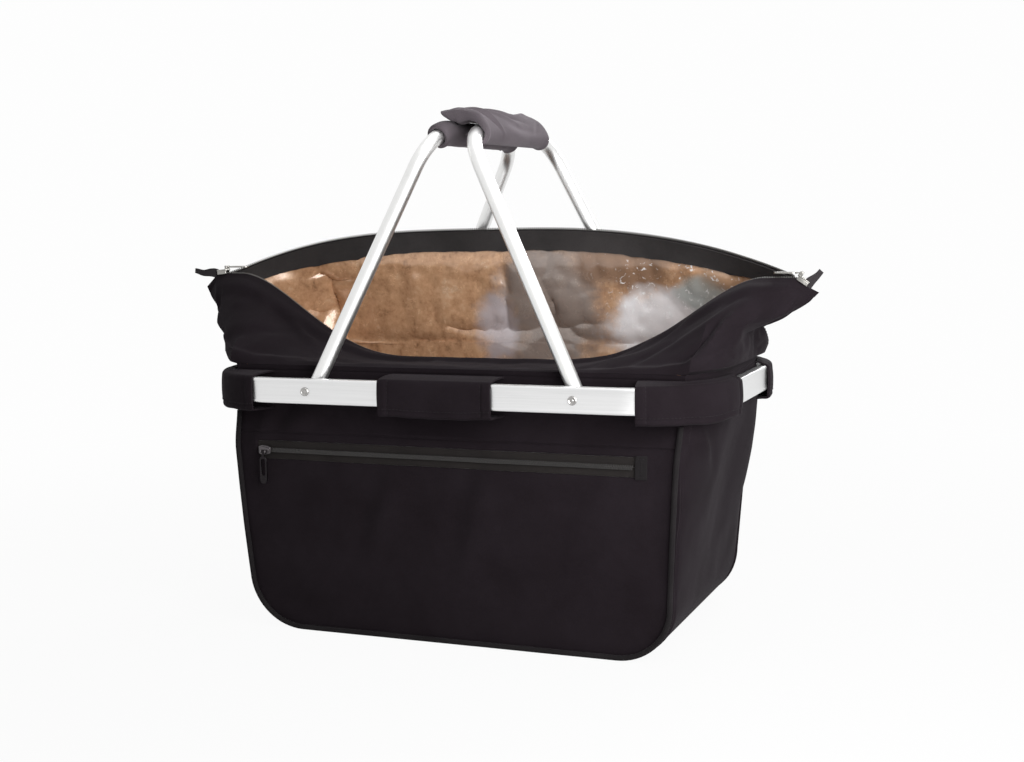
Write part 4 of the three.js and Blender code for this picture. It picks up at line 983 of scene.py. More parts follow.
def end_columns(side, end):
    """Seam and rim points of one end's columns, from its middle round to the long wall."""
    share = np.arange(END_COLUMNS) / END_COLUMNS
    bulge = body_end_x - panel_top_half
    x = end * (panel_top_half + bulge * bulge_at(share))
    y = side * np.maximum(GAP / 2, share * wall_half_depth)
    start = points_at(x, y, seam_z)
    sizes = MOUTH[end]
    closed_y = side * (FABRIC + GAP / 2)
    tip = np.array([end * sizes["tip_x"], side * GAP / 2, sizes["tip_z"]])
    slider_end = on_closed_zip(end, CLOSED_RUN, 0) + [0, closed_y, 0]
    rounding = smooth(share / END_TIP_SHARE) * 0.35 + 0.65 * clamp01(share / END_TIP_SHARE)
    outermost = lerp(tip, slider_end, rounding[:, None])
    out = CLOSED_RUN * (1 - clamp01((share - END_TIP_SHARE) / (END_CLOSED_SHARE - END_TIP_SHARE)))
    closed = on_closed_zip(end, out, 0) + [0, closed_y, 0]
    inwards = clamp01((share - END_CLOSED_SHARE) / (1 - END_CLOSED_SHARE))
    rim_x = end * lerp(sizes["closed_x"], panel_top_half * RIM_SPREAD, inwards)
    opened = open_rim(side, rim_x)
    stop = np.where((share < END_TIP_SHARE)[:, None], outermost, closed)
    stop = np.where((share > END_CLOSED_SHARE)[:, None], opened, stop)
    return start, stop


def upper_columns(side):
    x = np.linspace(panel_top_half, -panel_top_half, MIDDLE_COLUMNS + 1)
    middle = points_at(x, side * wall_half_depth, seam_z), open_rim(side, x * RIM_SPREAD)
    right, left = end_columns(side, 1), end_columns(side, -1)
    return [np.concatenate([right[i], middle[i], left[i][::-1]]) for i in (0, 1)]


# How an end of the upper wall rises from seam to rim: shares of the way along x, y and z.
END_PROFILE = {
    -1: [(0, 0, 0), (0.06, 0, 0.2), (0.22, 0.04, 0.34), (0.5, 0.12, 0.46), (0.78, 0.28, 0.62),
         (0.92, 0.55, 0.8), (1, 1, 1)],
    1: [(0, 0, 0), (0, 0, 0.2), (0.02, 0.06, 0.42), (0.17, 0.13, 0.53), (0.55, 0.3, 0.67),
        (0.84, 0.58, 0.84), (1, 1, 1)],
}
END_SWELL = {-1: 12.0, 1: 7.5}
END_SWELL_FORWARD = 0.3
BESIDE_END = 60.0


def end_shares(end):
    """Where each column lies from the middle of an end, 1 at the corner and more along the wall."""
    around = np.arange(END_COLUMNS) / END_COLUMNS
    x = np.linspace(panel_top_half, -panel_top_half, MIDDLE_COLUMNS + 1) * end
    along = 1 + (panel_top_half - x) / BESIDE_END
    far = np.full(END_COLUMNS, along.max())
    return np.concatenate([around, along, far] if end > 0 else [far, along, around[::-1]])


def full_ends(points, start, stop, side):
    """The upper wall with its two ends drawn out to the corners of the mouth."""
    for end in (-1, 1):
        share = end_shares(end)
        rise = spline(END_PROFILE[end], UPPER_ROWS + 1)[:, None, :]
        drawn = start + (stop - start) * rise
        swell = END_SWELL[end] * smooth(rise[..., 2] / 0.04)
        swell = swell * (1 - smooth((rise[..., 2] - 0.35) / 0.35))
        swell = swell * (1 - smooth((share - 0.8) / 0.8))
        drawn[..., 0] += end * swell
        drawn[..., 1] += side * END_SWELL_FORWARD * clamp01(share) * swell
        weight = 1 - smooth((share - 0.5) / 1.0)
        points = lerp(points, drawn, weight[None, :, None])
    return points


UPPER_ROWS = 40
HELD_RIM_ROWS = 3
HELD_SEAM_ROWS = 2
HELD_END_COLUMNS = 3
# Creases of the upper walls: along from the middle, up from the seam, angle, half length, half width,
# height.
FRONT_UPPER_CREASES = [
    (-196, 26, 62, 26, 6, 2.6),
    (-210, 44, 30, 30, 7, -1.8),
    (-160, 14, 10, 46, 6, 1.8),
    (-110, 30, -14, 50, 9, -1.6),
    (-40, 12, 2, 70, 6, 1.4),
    (60, 14, -4, 60, 6, -1.2),
    (120, 30, 24, 46, 8, 1.8),
    (170, 34, 38, 44, 8, -3.4),
    (192, 50, 42, 42, 7, 5.0),
    (212, 34, 60, 30, 7, -5.0),
    (232, 56, 70, 34, 8, 4.0),
    (206, 14, 20, 24, 6, 3.0),
]
BACK_UPPER_CREASES = [
    (-180, 40, 60, 40, 10, 2.4),
    (-120, 60, 84, 40, 14, -2.0),
    (-50, 50, 95, 44, 18, 1.6),
    (30, 60, 86, 44, 18, -1.4),
    (110, 52, 80, 44, 15, 1.8),
    (170, 40, 64, 36, 10, -2.4),
    (210, 60, 50, 36, 9, 2.6),
]


def upper_surface(side):
    """The outer surface of an upper wall as a grid of rows from the seam to the rim."""
    start, stop = upper_columns(side)
    lean, rise = SHOULDER[side]["lean"], SHOULDER[side]["rise"]
    height = (
        FRONT_CREST + rise * (stop[:, 2] - FRONT_RIM_Z) if side < 0 else rise * (stop[:, 2] - seam_z)
    )
    shoulder = np.stack(
        [
            lerp(start[:, 0], stop[:, 0], SHOULDER_ALONG),
            lerp(start[:, 1], stop[:, 1], lean),
            start[:, 2] + height,
        ],
        -1,
    )
    t = np.linspace(0, 1, UPPER_ROWS + 1)[:, None, None]
    points = (1 - t) ** 2 * start + 2 * t * (1 - t) * shoulder + t * t * stop
    points = full_ends(points, start, stop, side)
    held = np.zeros(points.shape[:2])
    held[:HELD_SEAM_ROWS] = held[-HELD_RIM_ROWS:] = 1.0
    held[:, :HELD_END_COLUMNS] = held[:, -HELD_END_COLUMNS:] = 1.0
    up = path_along(points)
    total = up[-1]
    loose = settled(points, held)
    free = smooth((up - 3) / 16) * smooth((total - up) / (RIM_BAND_SHARE * total) - 1)
    points = lerp(points, loose, free[..., None])
    outward = grid_normals(points) * side
    along = path_along(start)
    along = along.max() / 2 - along
    along = np.broadcast_to(along, up.shape)
    creases = folds(along, up, FRONT_UPPER_CREASES if side < 0 else BACK_UPPER_CREASES)
    soft = 1.3 * noise_field(points, 60.0, 8.2) + 0.5 * noise_field(points, 22.0, 0.7, 2)
    from_end = along.max() - np.abs(along)
    held = smooth(up / 12) * smooth((total - up) / 26) * smooth(from_end / 16)
    rise = (creases + soft) * held - 0.5 * bump(total - up - RIM_SEAM, 1.3)
    points = points + rise[..., None] * outward
    points[..., 1] = side * np.maximum(side * points[..., 1] - GAP / 2, 0.03)
    return points


def on_own_side(points, side):
    """The points, with none past the gap in the middle of the bag."""
    crossed = side * points[..., 1] < GAP / 2
    points[..., 1] = np.where(crossed, side * GAP / 2, points[..., 1])
    return points


def inset_grid(points, side, depth):
    """The grid moved in by a depth, kept on its own side of the middle."""
    inward = -grid_normals(points) * side
    depth = np.asarray(depth, float)
    moved = points + (depth[..., None] if depth.ndim else depth) * inward
    return on_own_side(moved, side)


TUCK_ROWS = 6
TUCK_DEPTH = 1.5


def tucked(film, edge, low):
    """How a lining's lowest rows are drawn in at the two ends, to meet the edge of the tub."""
    rows = 1 - smooth((np.arange(len(film)) - low) / TUCK_ROWS)
    near = [1 - smooth((end_shares(end) - 1.2) / 1.5) for end in (-1, 1)]
    return (edge - film) * (rows[:, None] * np.maximum(*near)[None, :])[..., None]


def upper_walls():
    for side, face in SIDES:
        outer = upper_surface(side)
        mouth_zip(outer, side, face)
        rows = outer.shape[0] - 1
        band = int(round(rows * (1 - RIM_BAND_SHARE)))
        low = int(round(rows * LINING_SHARE)) if side < 0 else 0
        edge = int(END_COLUMNS * LINING_FROM_END)
        cloth_in = inset_grid(outer, side, FABRIC)
        sheet_piece(f"upper_cloth_{face}", outer, cloth_in, OUTER, f"upper_wall_{face}")
        inside = slice(edge, outer.shape[1] - edge)
        part = (slice(low, band + 1), inside)
        film = inset_grid(outer, side, upper_liner_start)
        level = unit(side * grid_normals(outer)[0] * [1, 1, 0])
        edge_line = outer[0] - (liner_start + LINER + TUCK_DEPTH) * level
        tuck = tucked(film, edge_line, low)
        film = film + tuck
        foam_out, foam_in = (
            (inset_grid(outer, side, depth) + tuck)[part] for depth in (foam_start, foam_start + UPPER_FOAM)
        )
        sheet_piece(f"upper_foam_sheet_{face}", foam_out, foam_in, FOAM_SHEET, f"upper_foam_{face}")
        up = np.linspace(0, 1, band + 1 - low)[:, None]
        ends = np.minimum(np.arange(film[part].shape[1]), np.arange(film[part].shape[1])[::-1])
        held = smooth((1 - up) / 0.12) * smooth(ends / 8)[None, :]
        depth = upper_liner_start + LINER + 0.8 * crinkle(outer[part]) * held
        film_in = (inset_grid(outer, side, upper_liner_start + LINER) + tuck)[part]
        inward = -grid_normals(outer)[part] * side
        film_in = film_in + (depth - upper_liner_start - LINER)[..., None] * inward
        film_in = on_own_side(film_in, side)
        sheet_piece(f"upper_film_{face}", film[part], film_in, FOIL, f"upper_liner_{face}", angle=SOFT_ANGLE)
        part = (slice(band - 1, rows + 1), inside)
        to_rim = smooth(np.clip((np.arange(rows + 1) - band + 1) / (rows - band + 1), 0, 1))
        lap = lerp(upper_liner_start + LINER + RIM_BAND_LAP, foam_start, to_rim)[:, None]
        lap = np.broadcast_to(lap, outer.shape[:2])
        band_out, band_in = (
            inset_grid(outer, side, depth)[part] for depth in (lap, lap + RIM_BAND_THICKNESS)
        )
        sheet_piece(f"rim_band_cloth_{face}", band_out, band_in, BAND, f"rim_band_{face}")


# Ring.


def arc_points(centre, radius, start, stop, steps):
    angle = np.radians(np.linspace(start, stop, steps + 1))
    return points_at(centre[0] + radius * np.cos(angle), centre[1] + radius * np.sin(angle))


def channel_section():
    """The channel's outline: outward offset from its face, and height from its middle."""
    h, depth, wall, edge = ring_half_height, CHANNEL_DEPTH, CHANNEL_WALL, CHANNEL_EDGE
    lip = wall / 2
    step = h - FACE_LIP
    return np.concatenate(
        [
            arc_points((FACE_LIP_RISE - edge, -h + edge), edge, -90, 0, 6),
            [(FACE_LIP_RISE, -step - 0.5), (0.1, -step + 0.3), (0.0, -step + 0.9)],
            [(0.0, step - 0.9), (0.1, step - 0.3), (FACE_LIP_RISE, step + 0.5)],
            arc_points((FACE_LIP_RISE - edge, h - edge), edge, 0, 90, 6),
            arc_points((-depth + lip, h - lip), lip, 90, 270, 6),
            [(-wall, h - wall), (-wall, -h + wall)],
            arc_points((-depth + lip, -h + lip), lip, 90, 270, 6),
        ]
    )


def ring_stations(steps=RING_CORNER_STEPS):
    """Points round the ring's face, each with its outward direction."""
    x, y = ring_half_length - RING_CORNER, ring_half_depth - RING_CORNER
    at, out = [], []
    for cx, cy, start in ((x, -y, -90), (x, y, 0), (-x, y, 90), (-x, -y, 180)):
        angle = np.radians(np.linspace(start, start + 90, steps + 1))
        normal = points_at(np.cos(angle), np.sin(angle))
        at.append(np.array([cx, cy]) + RING_CORNER * normal)
        out.append(normal)
    return np.concatenate(at), np.concatenate(out)


def on_ring(at, out, section):
    """Sections placed at stations: (stations, section points, 3)."""
    flat = at[:, None, :] + section[None, :, :1] * out[:, None, :]
    z = np.broadcast_to(ring_centre_z + section[:, 1], flat.shape[:2])
    return np.concatenate([flat, z[..., None]], -1)


def frame_ring():
    at, out = ring_stations()
    solid = tube(on_ring(at, out, channel_section()), closed=True)
    piece("ring_channel", solid, ALUMINIUM, "frame_ring", angle=30)


# Fabric loops.


def wall_reach(at, out, z):
    """How far in from the ring's face the bag's wall lies at stations and a height."""
    outside, inside = np.zeros(len(at)), np.full(len(at), ring_half_depth)
    for _ in range(36):
        middle = (outside + inside) / 2
        x, y = (at - middle[:, None] * out).T
        share = np.abs(y) / half_depth(z)
        within = (share <= 1) & (np.abs(x) <= piping_x(z) + end_bulge(z) * bulge_at(share))
        inside = np.where(within, middle, inside)
        outside = np.where(within, outside, middle)
    return outside


def loop_line(reach_top, reach_foot, depth, drop):
    """The loop's line in section at a depth under its outer face, from seam to foot."""
    out = LOOP_SLACK + LOOP_FABRIC - depth
    top = ring_half_height + LOOP_SLACK + LOOP_FABRIC - depth
    bottom = -(ring_half_height + drop) - LOOP_FABRIC + depth
    seam = wall_seam_z - 0.4 - ring_centre_z - depth
    foot = -LOOP_FOOT_DROP + depth
    round_top, round_low = LOOP_TOP_ROUND - depth, LOOP_LOW_ROUND - depth * 0.6
    start = np.array([LOOP_SEWING_GAP - reach_top, seam])
    end = np.array([LOOP_SEWING_GAP - reach_foot, foot])
    shelf = np.array([out - round_top, top])
    crest = (start + shelf) / 2 + [0, LOOP_SHELF_CREST]
    t = np.linspace(0, 1, 12, endpoint=False)[:, None]
    first = (1 - t) ** 2 * start + 2 * t * (1 - t) * crest + t * t * shelf
    corner = arc_points((out - round_top, top - round_top), round_top, 90, 0, 8)
    lower = np.array([-CHANNEL_DEPTH / 2, bottom])
    drop_arc = arc_points((out - round_low, bottom + round_low), round_low, 0, -90, 8)
    straight = np.linspace(corner[-1], drop_arc[0], 22)[1:-1]
    above = straight[:, 1] - bottom
    share = (straight[:, 1] - drop_arc[0][1]) / (corner[-1][1] - drop_arc[0][1])
    straight[:, 0] += LOOP_BELLY * np.sin(math.pi * share) - 0.55 * bump(above - LOOP_HEM, 0.9)
    last = np.linspace(lower, end, 10)
    return np.concatenate([first, corner, straight, drop_arc, last])


def loop_cloth(kind, place, at, out):
    name = f"{kind}_cloth_{place}"
    reach_top = wall_reach(at, out, wall_seam_z)
    reach_foot = wall_reach(at, out, ring_centre_z - LOOP_FOOT_DROP)
    along = path_along(at)
    waves = noise_field(points_at(*at.T, 0.0), 34.0, 4.9, 2)
    drop = LOOP_DROP + 1.3 * waves + LOOP_SAG * np.sin(math.pi * along / along[-1])
    from_end = np.minimum(along, along[-1] - along)
    hem = 0.55 * (1 - smooth((from_end - LOOP_HEM_WIDTH) / 1.6)) - 0.45 * bump(from_end - LOOP_SIDE_HEM, 0.9)
    hem = hem * smooth(from_end / 0.8 + 0.4)
    grids = []
    for depth in (0.0, LOOP_FABRIC):
        lines = np.stack([loop_line(t, f, depth, d) for t, f, d in zip(reach_top, reach_foot, drop)])
        flat = at[:, None, :] + lines[..., :1] * out[:, None, :]
        grids.append(np.concatenate([flat, ring_centre_z + lines[..., 1:]], -1))
    outer, inner = (np.swapaxes(g, 0, 1) for g in grids)
    lumps = np.abs(noise_field(outer, 24.0, 6.1, 2)) * LOOP_SWELL
    rows = np.linspace(0, 1, outer.shape[0])
    free = (smooth(rows / 0.2) * smooth((1 - rows) / 0.2))[:, None]
    level = points_at(*out.T, 0.0)[None]
    shift = level * (lumps * free)[..., None]
    outer = outer + shift + level * (hem[None, :] * free)[..., None]
    inner = inner + shift
    sheet_piece(name, outer, inner, OUTER, f"{kind}_{place}", angle=50)
    face = LOOP_FACE_ROWS
    seams = []
    for distance in (LOOP_SIDE_HEM, along[-1] - LOOP_SIDE_HEM):
        column = int(np.argmin(np.abs(along - distance)))
        seams.append((outer[face, column], np.tile(level[0, column], (face.stop - face.start, 1))))
    height = outer[: face.stop, 0, 2]
    row = int(np.argmin(np.abs(height - height.min() - LOOP_HEM)))
    seams.append((outer[row], np.broadcast_to(level[0], outer[row].shape)))
    stitched(f"{name}_stitches", seams)


def middle_loops():
    for side, face in SIDES:
        x = np.linspace(MIDDLE_LOOP_LENGTH / 2, -MIDDLE_LOOP_LENGTH / 2, 90)
        at = points_at(x, side * ring_half_depth)
        out = np.tile([0.0, side], (len(x), 1))
        loop_cloth("middle_loop", face, at, out)


def corner_loops():
    corner_x, corner_y = ring_half_length - RING_CORNER, ring_half_depth - RING_CORNER
    start = math.asin((CORNER_LOOP_START - corner_x) / RING_CORNER)
    for sx, end in ENDS:
        for sy, face in SIDES:
            angle = np.linspace(start, math.pi / 2, 80)
            normal = points_at(sx * np.sin(angle), sy * np.cos(angle))
            at = np.array([sx * corner_x, sy * corner_y]) + RING_CORNER * normal
            y = np.linspace(corner_y, CORNER_LOOP_END, 8)[1:]
            straight = points_at(sx * ring_half_length, sy * y)
            at = np.concatenate([at, straight])
            out = np.concatenate([normal, np.tile([float(sx), 0.0], (len(y), 1))])
            loop_cloth("corner_loop", f"{face}_{end}", at, out)


# Handles.


def handle_plane(sx):
    lean = np.array([sx * (HANDLE_TOP_X - PIVOT_X), 0, HANDLE_TOP_Z - ring_centre_z])
    reach = np.linalg.norm(lean)
    lean = lean / reach
    across = np.cross([0, 1, 0], lean)
    foot = np.array([sx * PIVOT_X, 0, ring_centre_z])
    return lean, across, foot, reach


def tube_stations(reach):
    """y, distance up the lean and heading of the tube's centre line, foot to foot."""
    slope = math.atan(LEG_CONVERGENCE)
    centre_s = reach - TUBE_BEND_RADIUS
    bend_s = centre_s + TUBE_BEND_RADIUS * math.sin(slope)
    centre_y = -(leg_y - LEG_CONVERGENCE * bend_s) + TUBE_BEND_RADIUS * math.cos(slope)
    foot = np.array([[-(leg_y + LEG_CONVERGENCE * TUBE_FOOT), -TUBE_FOOT, slope]])
    turn = np.linspace(slope, math.pi / 2, BEND_STEPS + 1)
    bend = np.stack(
        [
            centre_y - TUBE_BEND_RADIUS * np.cos(turn),
            centre_s + TUBE_BEND_RADIUS * np.sin(turn),
            turn,
        ],
        1,
    )
    legs = lerp(foot, bend[:1], np.linspace(0, 1, 40, endpoint=False)[:, None])
    legs[:, 2] = slope
    half = np.concatenate([legs, bend])
    mirrored = half[::-1] * [-1, 1, -1] + [0, 0, math.pi]
    return np.concatenate([half, mirrored])


def sweep(sx, stations, outline):
    """An outline (points of across and side) swept along stations of a handle."""
    lean, across, foot, _ = handle_plane(sx)
    centre = foot + stations[:, :1] * [0, 1, 0] + stations[:, 1:2] * lean
    turn = stations[:, 2:3]
    side = np.cos(turn) * [0, 1, 0] - np.sin(turn) * lean
    outline = np.broadcast_to(outline, (len(stations), *np.shape(outline)[-2:]))
    return (centre[:, None, :] + outline[..., :1] * across + outline[..., 1:2] * side[:, None, :])


def circle(radius, sides=TUBE_SIDES, start=0.0):
    angle = start + np.linspace(0, 2 * math.pi, sides, endpoint=False)
    return points_at(radius * np.cos(angle), radius * np.sin(angle))


def handles():
    for sx, end in ENDS:
        stations = tube_stations(handle_plane(sx)[3])
        outer = sweep(sx, stations, circle(TUBE_RADIUS))
        bore = sweep(sx, stations, circle(TUBE_RADIUS - TUBE_WALL))
        wall = tube(np.concatenate([outer, bore[::-1]]), closed=True)
        piece(f"handle_tube_{end}", wall, TUBE_METAL, f"handle_{end}", f"{end}_bail")


def end_heavy(count, low, high, reach):
    """Evenly spaced values with three extra ones near each end, for a rounded edge."""
    close = np.array([0.0, 0.15, 0.45, 1.0]) * reach
    middle = np.linspace(low + 2 * reach, high - 2 * reach, count)
    return np.concatenate([low + close, middle, high - close[::-1]])


def rounded_share(values, low, high, reach):
    near = clamp01(np.minimum(values - low, high - values) / reach)
    return np.sqrt(1 - (1 - near) ** 2) * 0.8 + 0.2


def bar_drop(y):
    """How far the tube's bend has dropped below the top bar at a place along it."""
    reach = handle_plane(1)[3]
    stations = tube_stations(reach)
    return reach - np.interp(y, stations[:, 0], stations[:, 1])


PAD_EDGE = 2.2
GRIP_OPEN = 12.0


def left_grip():
    """A padded sleeve rolled round the bar, its long edges meeting underneath."""
    half = GRIP_LENGTH / 2
    y = end_heavy(64, -half, half, PAD_EDGE)
    stations = tube_stations(handle_plane(-1)[3])
    s = np.interp(y, stations[:, 0], stations[:, 1])
    turn = np.interp(y, stations[:, 0], stations[:, 2])
    placed = points_at(y, s, turn)
    angle = np.radians(np.linspace(180 + GRIP_OPEN, 540 - GRIP_OPEN, 46))
    radius = (grip_radius + grip_bore) / 2
    around = points_at(radius * np.cos(angle), radius * np.sin(angle))
    turned = sweep(-1, placed, around @ np.array([[0.0, -1.0], [1.0, 0.0]]))
    middle = np.swapaxes(turned, 0, 1)
    lumps = 0.45 * noise_field(middle, 15.0, 3.1, 2)
    thickness = (grip_radius - grip_bore + lumps) * rounded_share(y, -half, half, PAD_EDGE)
    half_way = grid_normals(middle) * (thickness[..., None] / 2)
    padded_piece("grip_sleeve_left", middle + half_way, middle - half_way, "grip_left", "left_bail")


# The wrap's outer face in section at mid length, from the flap's free edge over and round the bar.
WRAP_SECTION = [
    (-23.0, 462.4),
    (-14.0, 463.6),
    (-4.0, 464.8),
    (6.5, 463.9),
    (15.0, 460.2),
    (21.5, 453.6),
    (25.9, 444.5),
    (24.4, 437.7),
    (19.6, 433.8),
    (13.5, 433.3),
    (8.0, 436.6),
    (6.2, 443.0),
]
# Its thickness, from the free edge on: distance round the section, thickness.
WRAP_THICKNESS = [
    (0.0, 2.8), (4.0, 4.6), (9.0, 7.8), (14.0, 9.6), (22.0, 9.8), (30.0, 8.6), (39.0, 7.2), (48.0, 4.6),
    (58.0, 2.7),
]
# How much thicker it is away from its ends, where it fills the gap between the grips.
WRAP_FILL = [(9.0, 0.0), (14.0, 0.4), (19.0, 2.6), (30.0, 3.0), (39.0, 1.2), (44.0, 0.0)]
# How much thicker it is at its near end, where it rests on the left grip.
WRAP_REST = [(0.0, 0.0), (3.0, 1.0), (6.0, 1.6), (14.0, 1.5), (20.0, 2.2), (28.0, 1.5), (36.0, 0.0)]
WRAP_BINDING = 2.2
WRAP_NEAR_END = -80.0
WRAP_FAR_END = 76.0


def by_distance(path, table):
    along, value = np.array(table).T
    return np.interp(path, along, value)


def bar_shift(y):
    """How far the bar has moved from its middle at a place along it."""
    lean = handle_plane(1)[0]
    return -bar_drop(y)[..., None] * lean


def right_grip():
    """A padded wrap round the right bar, with a flap that reaches over the left grip."""
    y = end_heavy(136, WRAP_NEAR_END, WRAP_FAR_END, PAD_EDGE)
    across = np.concatenate([[0, 0.004, 0.012, 0.024], np.linspace(0.045, 1, 112)])
    section = spline(WRAP_SECTION, across)
    end_share = np.where(y < 0, y / WRAP_NEAR_END, y / WRAP_FAR_END)
    outer = points_at(section[:, :1], y[None, :], section[:, 1:]) + bar_shift(y)[None]
    tip = clamp01(1 - across / 0.22)[:, None]
    outer[..., 0] += 6.5 * tip * end_share[None, :] ** 4
    path = path_along(section)[-1] * across
    creases = folds(y[None, :], path[:, None], GRIP_CREASES)
    free = smooth(path / 12) * clamp01(1 - (path - 70) / 20)
    normal = grid_normals(outer)
    centre = np.array([HANDLE_TOP_X, 0, HANDLE_TOP_Z])
    facing = np.sign(((outer - centre) * normal).sum())
    normal = facing * normal
    bound = smooth((WRAP_NEAR_END + 9 - y) / 2) * smooth((path[:, None] - 30) / 14)
    bound = bound * (1 - smooth((path[:, None] - 66) / 10))
    rise = creases * free[:, None] + WRAP_BINDING * bound
    inside = smooth((np.minimum(y - WRAP_NEAR_END, WRAP_FAR_END - y) - 5) / 9)
    thickness = by_distance(path, WRAP_THICKNESS)[:, None] + 0.4 * noise_field(outer, 18.0, 9.4, 2)
    thickness = thickness + by_distance(path, WRAP_FILL)[:, None] * inside[None, :]
    thickness = thickness + by_distance(path, WRAP_REST)[:, None] * smooth((-56 - y) / 6)[None, :]
    edge = 0.2 + 0.8 * np.sqrt(1 - (1 - clamp01(path / PAD_EDGE)) ** 2)
    edge = edge[:, None] * rounded_share(y, WRAP_NEAR_END, WRAP_FAR_END, PAD_EDGE)[None, :]
    faces = [outer + normal * (rise * edge)[..., None], outer - normal * (thickness * edge)[..., None]]
    if facing < 0:
        faces.reverse()
    padded_piece("grip_wrap_right", *faces, "grip_right_wrap", "right_bail")


# Creases of the wrap: along the bar, round from the free edge, angle, half length, half width, height.
GRIP_CREASES = [
    (-20, 35, 13, 34, 2.3, -4.4),
    (-26, 40, 15, 32, 2.4, 2.2),
    (-12, 30, 12, 36, 2.4, 1.8),
    (-54, 38, 40, 11, 1.8, 2.4),
    (-58, 43, 44, 13, 1.8, -2.4),
    (-46, 48, 48, 12, 2.2, 1.8),
    (-70.5, 52, 88, 16, 1.3, -3.2),
    (-50, 18, 24, 16, 3.0, -2.2),
    (-40, 14, 20, 18, 3.4, 1.6),
    (40, 25, -16, 24, 2.8, -2.2),
    (46, 33, -14, 22, 3.0, 2.0),
    (56, 50, -30, 14, 3.0, -1.6),
    (20, 54, 4, 26, 3.6, -1.4),
    (-10, 58, 10, 24, 4.0, 1.4),
]
TAPE_FROM_EDGE = (3.0, 11.0)
TAPE_BASE = 0.5
HOOK = 0.4


def grip_tape():
    """The strip of hook tape under the flap, as a band of small hooks."""
    low, high = node_box("grip_hook_tape")
    section = spline(WRAP_SECTION, 400)
    path = path_along(section)

    def under(distance, y):
        x = np.interp(distance, path, section[:, 0])
        top = np.interp(distance, path, section[:, 1]) - by_distance(distance, WRAP_THICKNESS) - 0.8
        return points_at(x, y, top) + bar_shift(y)

    distance, y = np.meshgrid(np.linspace(*TAPE_FROM_EDGE, 9), np.linspace(low[1], high[1], 40))
    upper = under(distance, y)
    parts = [sheet(upper, upper - [0, 0, TAPE_BASE])]
    distance, y = np.meshgrid(
        np.arange(TAPE_FROM_EDGE[0] + 0.8, TAPE_FROM_EDGE[1] - 0.4, 1.6),
        np.arange(low[1] + 1, high[1] - 0.5, 1.6),
    )
    places = under(distance.ravel(), y.ravel()) - [0, 0, TAPE_BASE]
    down = np.tile([0.0, 0, -1], (len(places), 1))
    along = np.tile([0.0, 1, 0], (len(places), 1))
    parts.append(copies(block(0.35, 0.35, HOOK), places, along, down))
    piece("hook_tape_strip", joined(*parts), TAPE, "grip_hook_tape", "right_bail")


# Small parts: stitches, teeth, rivets, sliders and pulls.


def block(length, width, height, taper=0.85):
    """A small block on the origin: x along, y across and z up, its top a little smaller."""
    x, y = length / 2, width / 2
    corners = [(-x, -y), (x, -y), (x, y), (-x, y)]
    lower = [(a, b, 0) for a, b in corners]
    upper = [(a * taper, b * taper, height) for a, b in corners]
    sections = np.array([lower, upper], float)
    return tube(sections)


def capsule(length, radius, sides=6):
    """A stitch lying along x."""
    x = np.array([-1, -0.86, 0, 0.86, 1]) * length / 2
    r = np.array([0.35, 0.85, 1, 0.85, 0.35]) * radius
    angle = np.linspace(0, 2 * math.pi, sides, endpoint=False)
    ring = points_at(0.0, np.cos(angle), np.sin(angle))
    return tube(x[:, None, None] * [1, 0, 0] + r[:, None, None] * ring)


def copies(shape, places, along, up):
    """One mesh of many copies of a shape: its x lies along, and its z up."""
    points, faces = shape
    across = unit(np.cross(up, along))
    up = unit(np.cross(along, across))
    axes = np.stack([unit(along), across, up], 1)
    moved = places[:, None, :] + np.einsum("pi,nij->npj", points, axes)
    count = len(points)
    made = [[i + n * count for i in face] for n in range(len(places)) for face in faces]
    return moved.reshape(-1, 3), made


def spaced(line, pitch, up):
    """Places, directions and ups at an even pitch along a line of points."""
    path = path_along(line)
    count = max(2, int(path[-1] / pitch))
    at = (np.arange(count) + 0.5) * path[-1] / count

    def sample(values, where):
        return np.stack([np.interp(where, path, values[:, i]) for i in range(3)], 1)

    ahead = sample(line, np.minimum(at + 0.6, path[-1]))
    behind = sample(line, np.maximum(at - 0.6, 0))
    return sample(line, at), unit(ahead - behind), unit(sample(up, at))


STITCH_LENGTH = 2.5
STITCH_PITCH = 3.4
STITCH_RADIUS = 0.32


def stitched(name, lines):
    """Rows of stitches along lines, each given as (points, ups)."""
    parts = []
    for line, up in lines:
        places, along, lifted = spaced(line, STITCH_PITCH, up)
        parts.append(copies(capsule(STITCH_LENGTH, STITCH_RADIUS), places, along, lifted))
    piece(name, joined(*parts), THREAD)


def placed(solid, origin, x, y, z):
    points, faces = solid
    return np.asarray(origin) + points @ np.stack([x, y, z]), faces


def slab(outline, low, high):
    """An outline in x and y, thick from low to high in z."""
    outline = np.array(outline, float)
    sections = [np.column_stack([outline, np.full(len(outline), z)]) for z in (low, high)]
    return tube(np.array(sections))


def bar(x0, x1, y0, y1, low, high):
    return slab([(x0, y0), (x1, y0), (x1, y1), (x0, y1)], low, high)


def both_sides(shares, length, width):
    """An outline from shares of a length and a width along its lower side."""
    lower = [(x * length, -y * width) for x, y in shares]
    return lower + [(x, -y) for x, y in lower[::-1]]


def frame_slab(outer, inner, low, high):
    """A flat ring between two like outlines."""
    outer, inner = np.array(outer, float), np.array(inner, float)
    rows = [(outer, low), (outer, high), (inner, high), (inner, low)]
    sections = [np.column_stack([line, np.full(len(line), z)]) for line, z in rows]
    return tube(np.array(sections), closed=True)


def softened(made, width, segments=2):
    """Small rounded edges."""
    bevel = made.modifiers.new("edges", "BEVEL")
    bevel.width = width * MM
    bevel.segments = segments
    bevel.limit_method = "ANGLE"
    bevel.angle_limit = math.radians(35)
    bevel.use_clamp_overlap = True


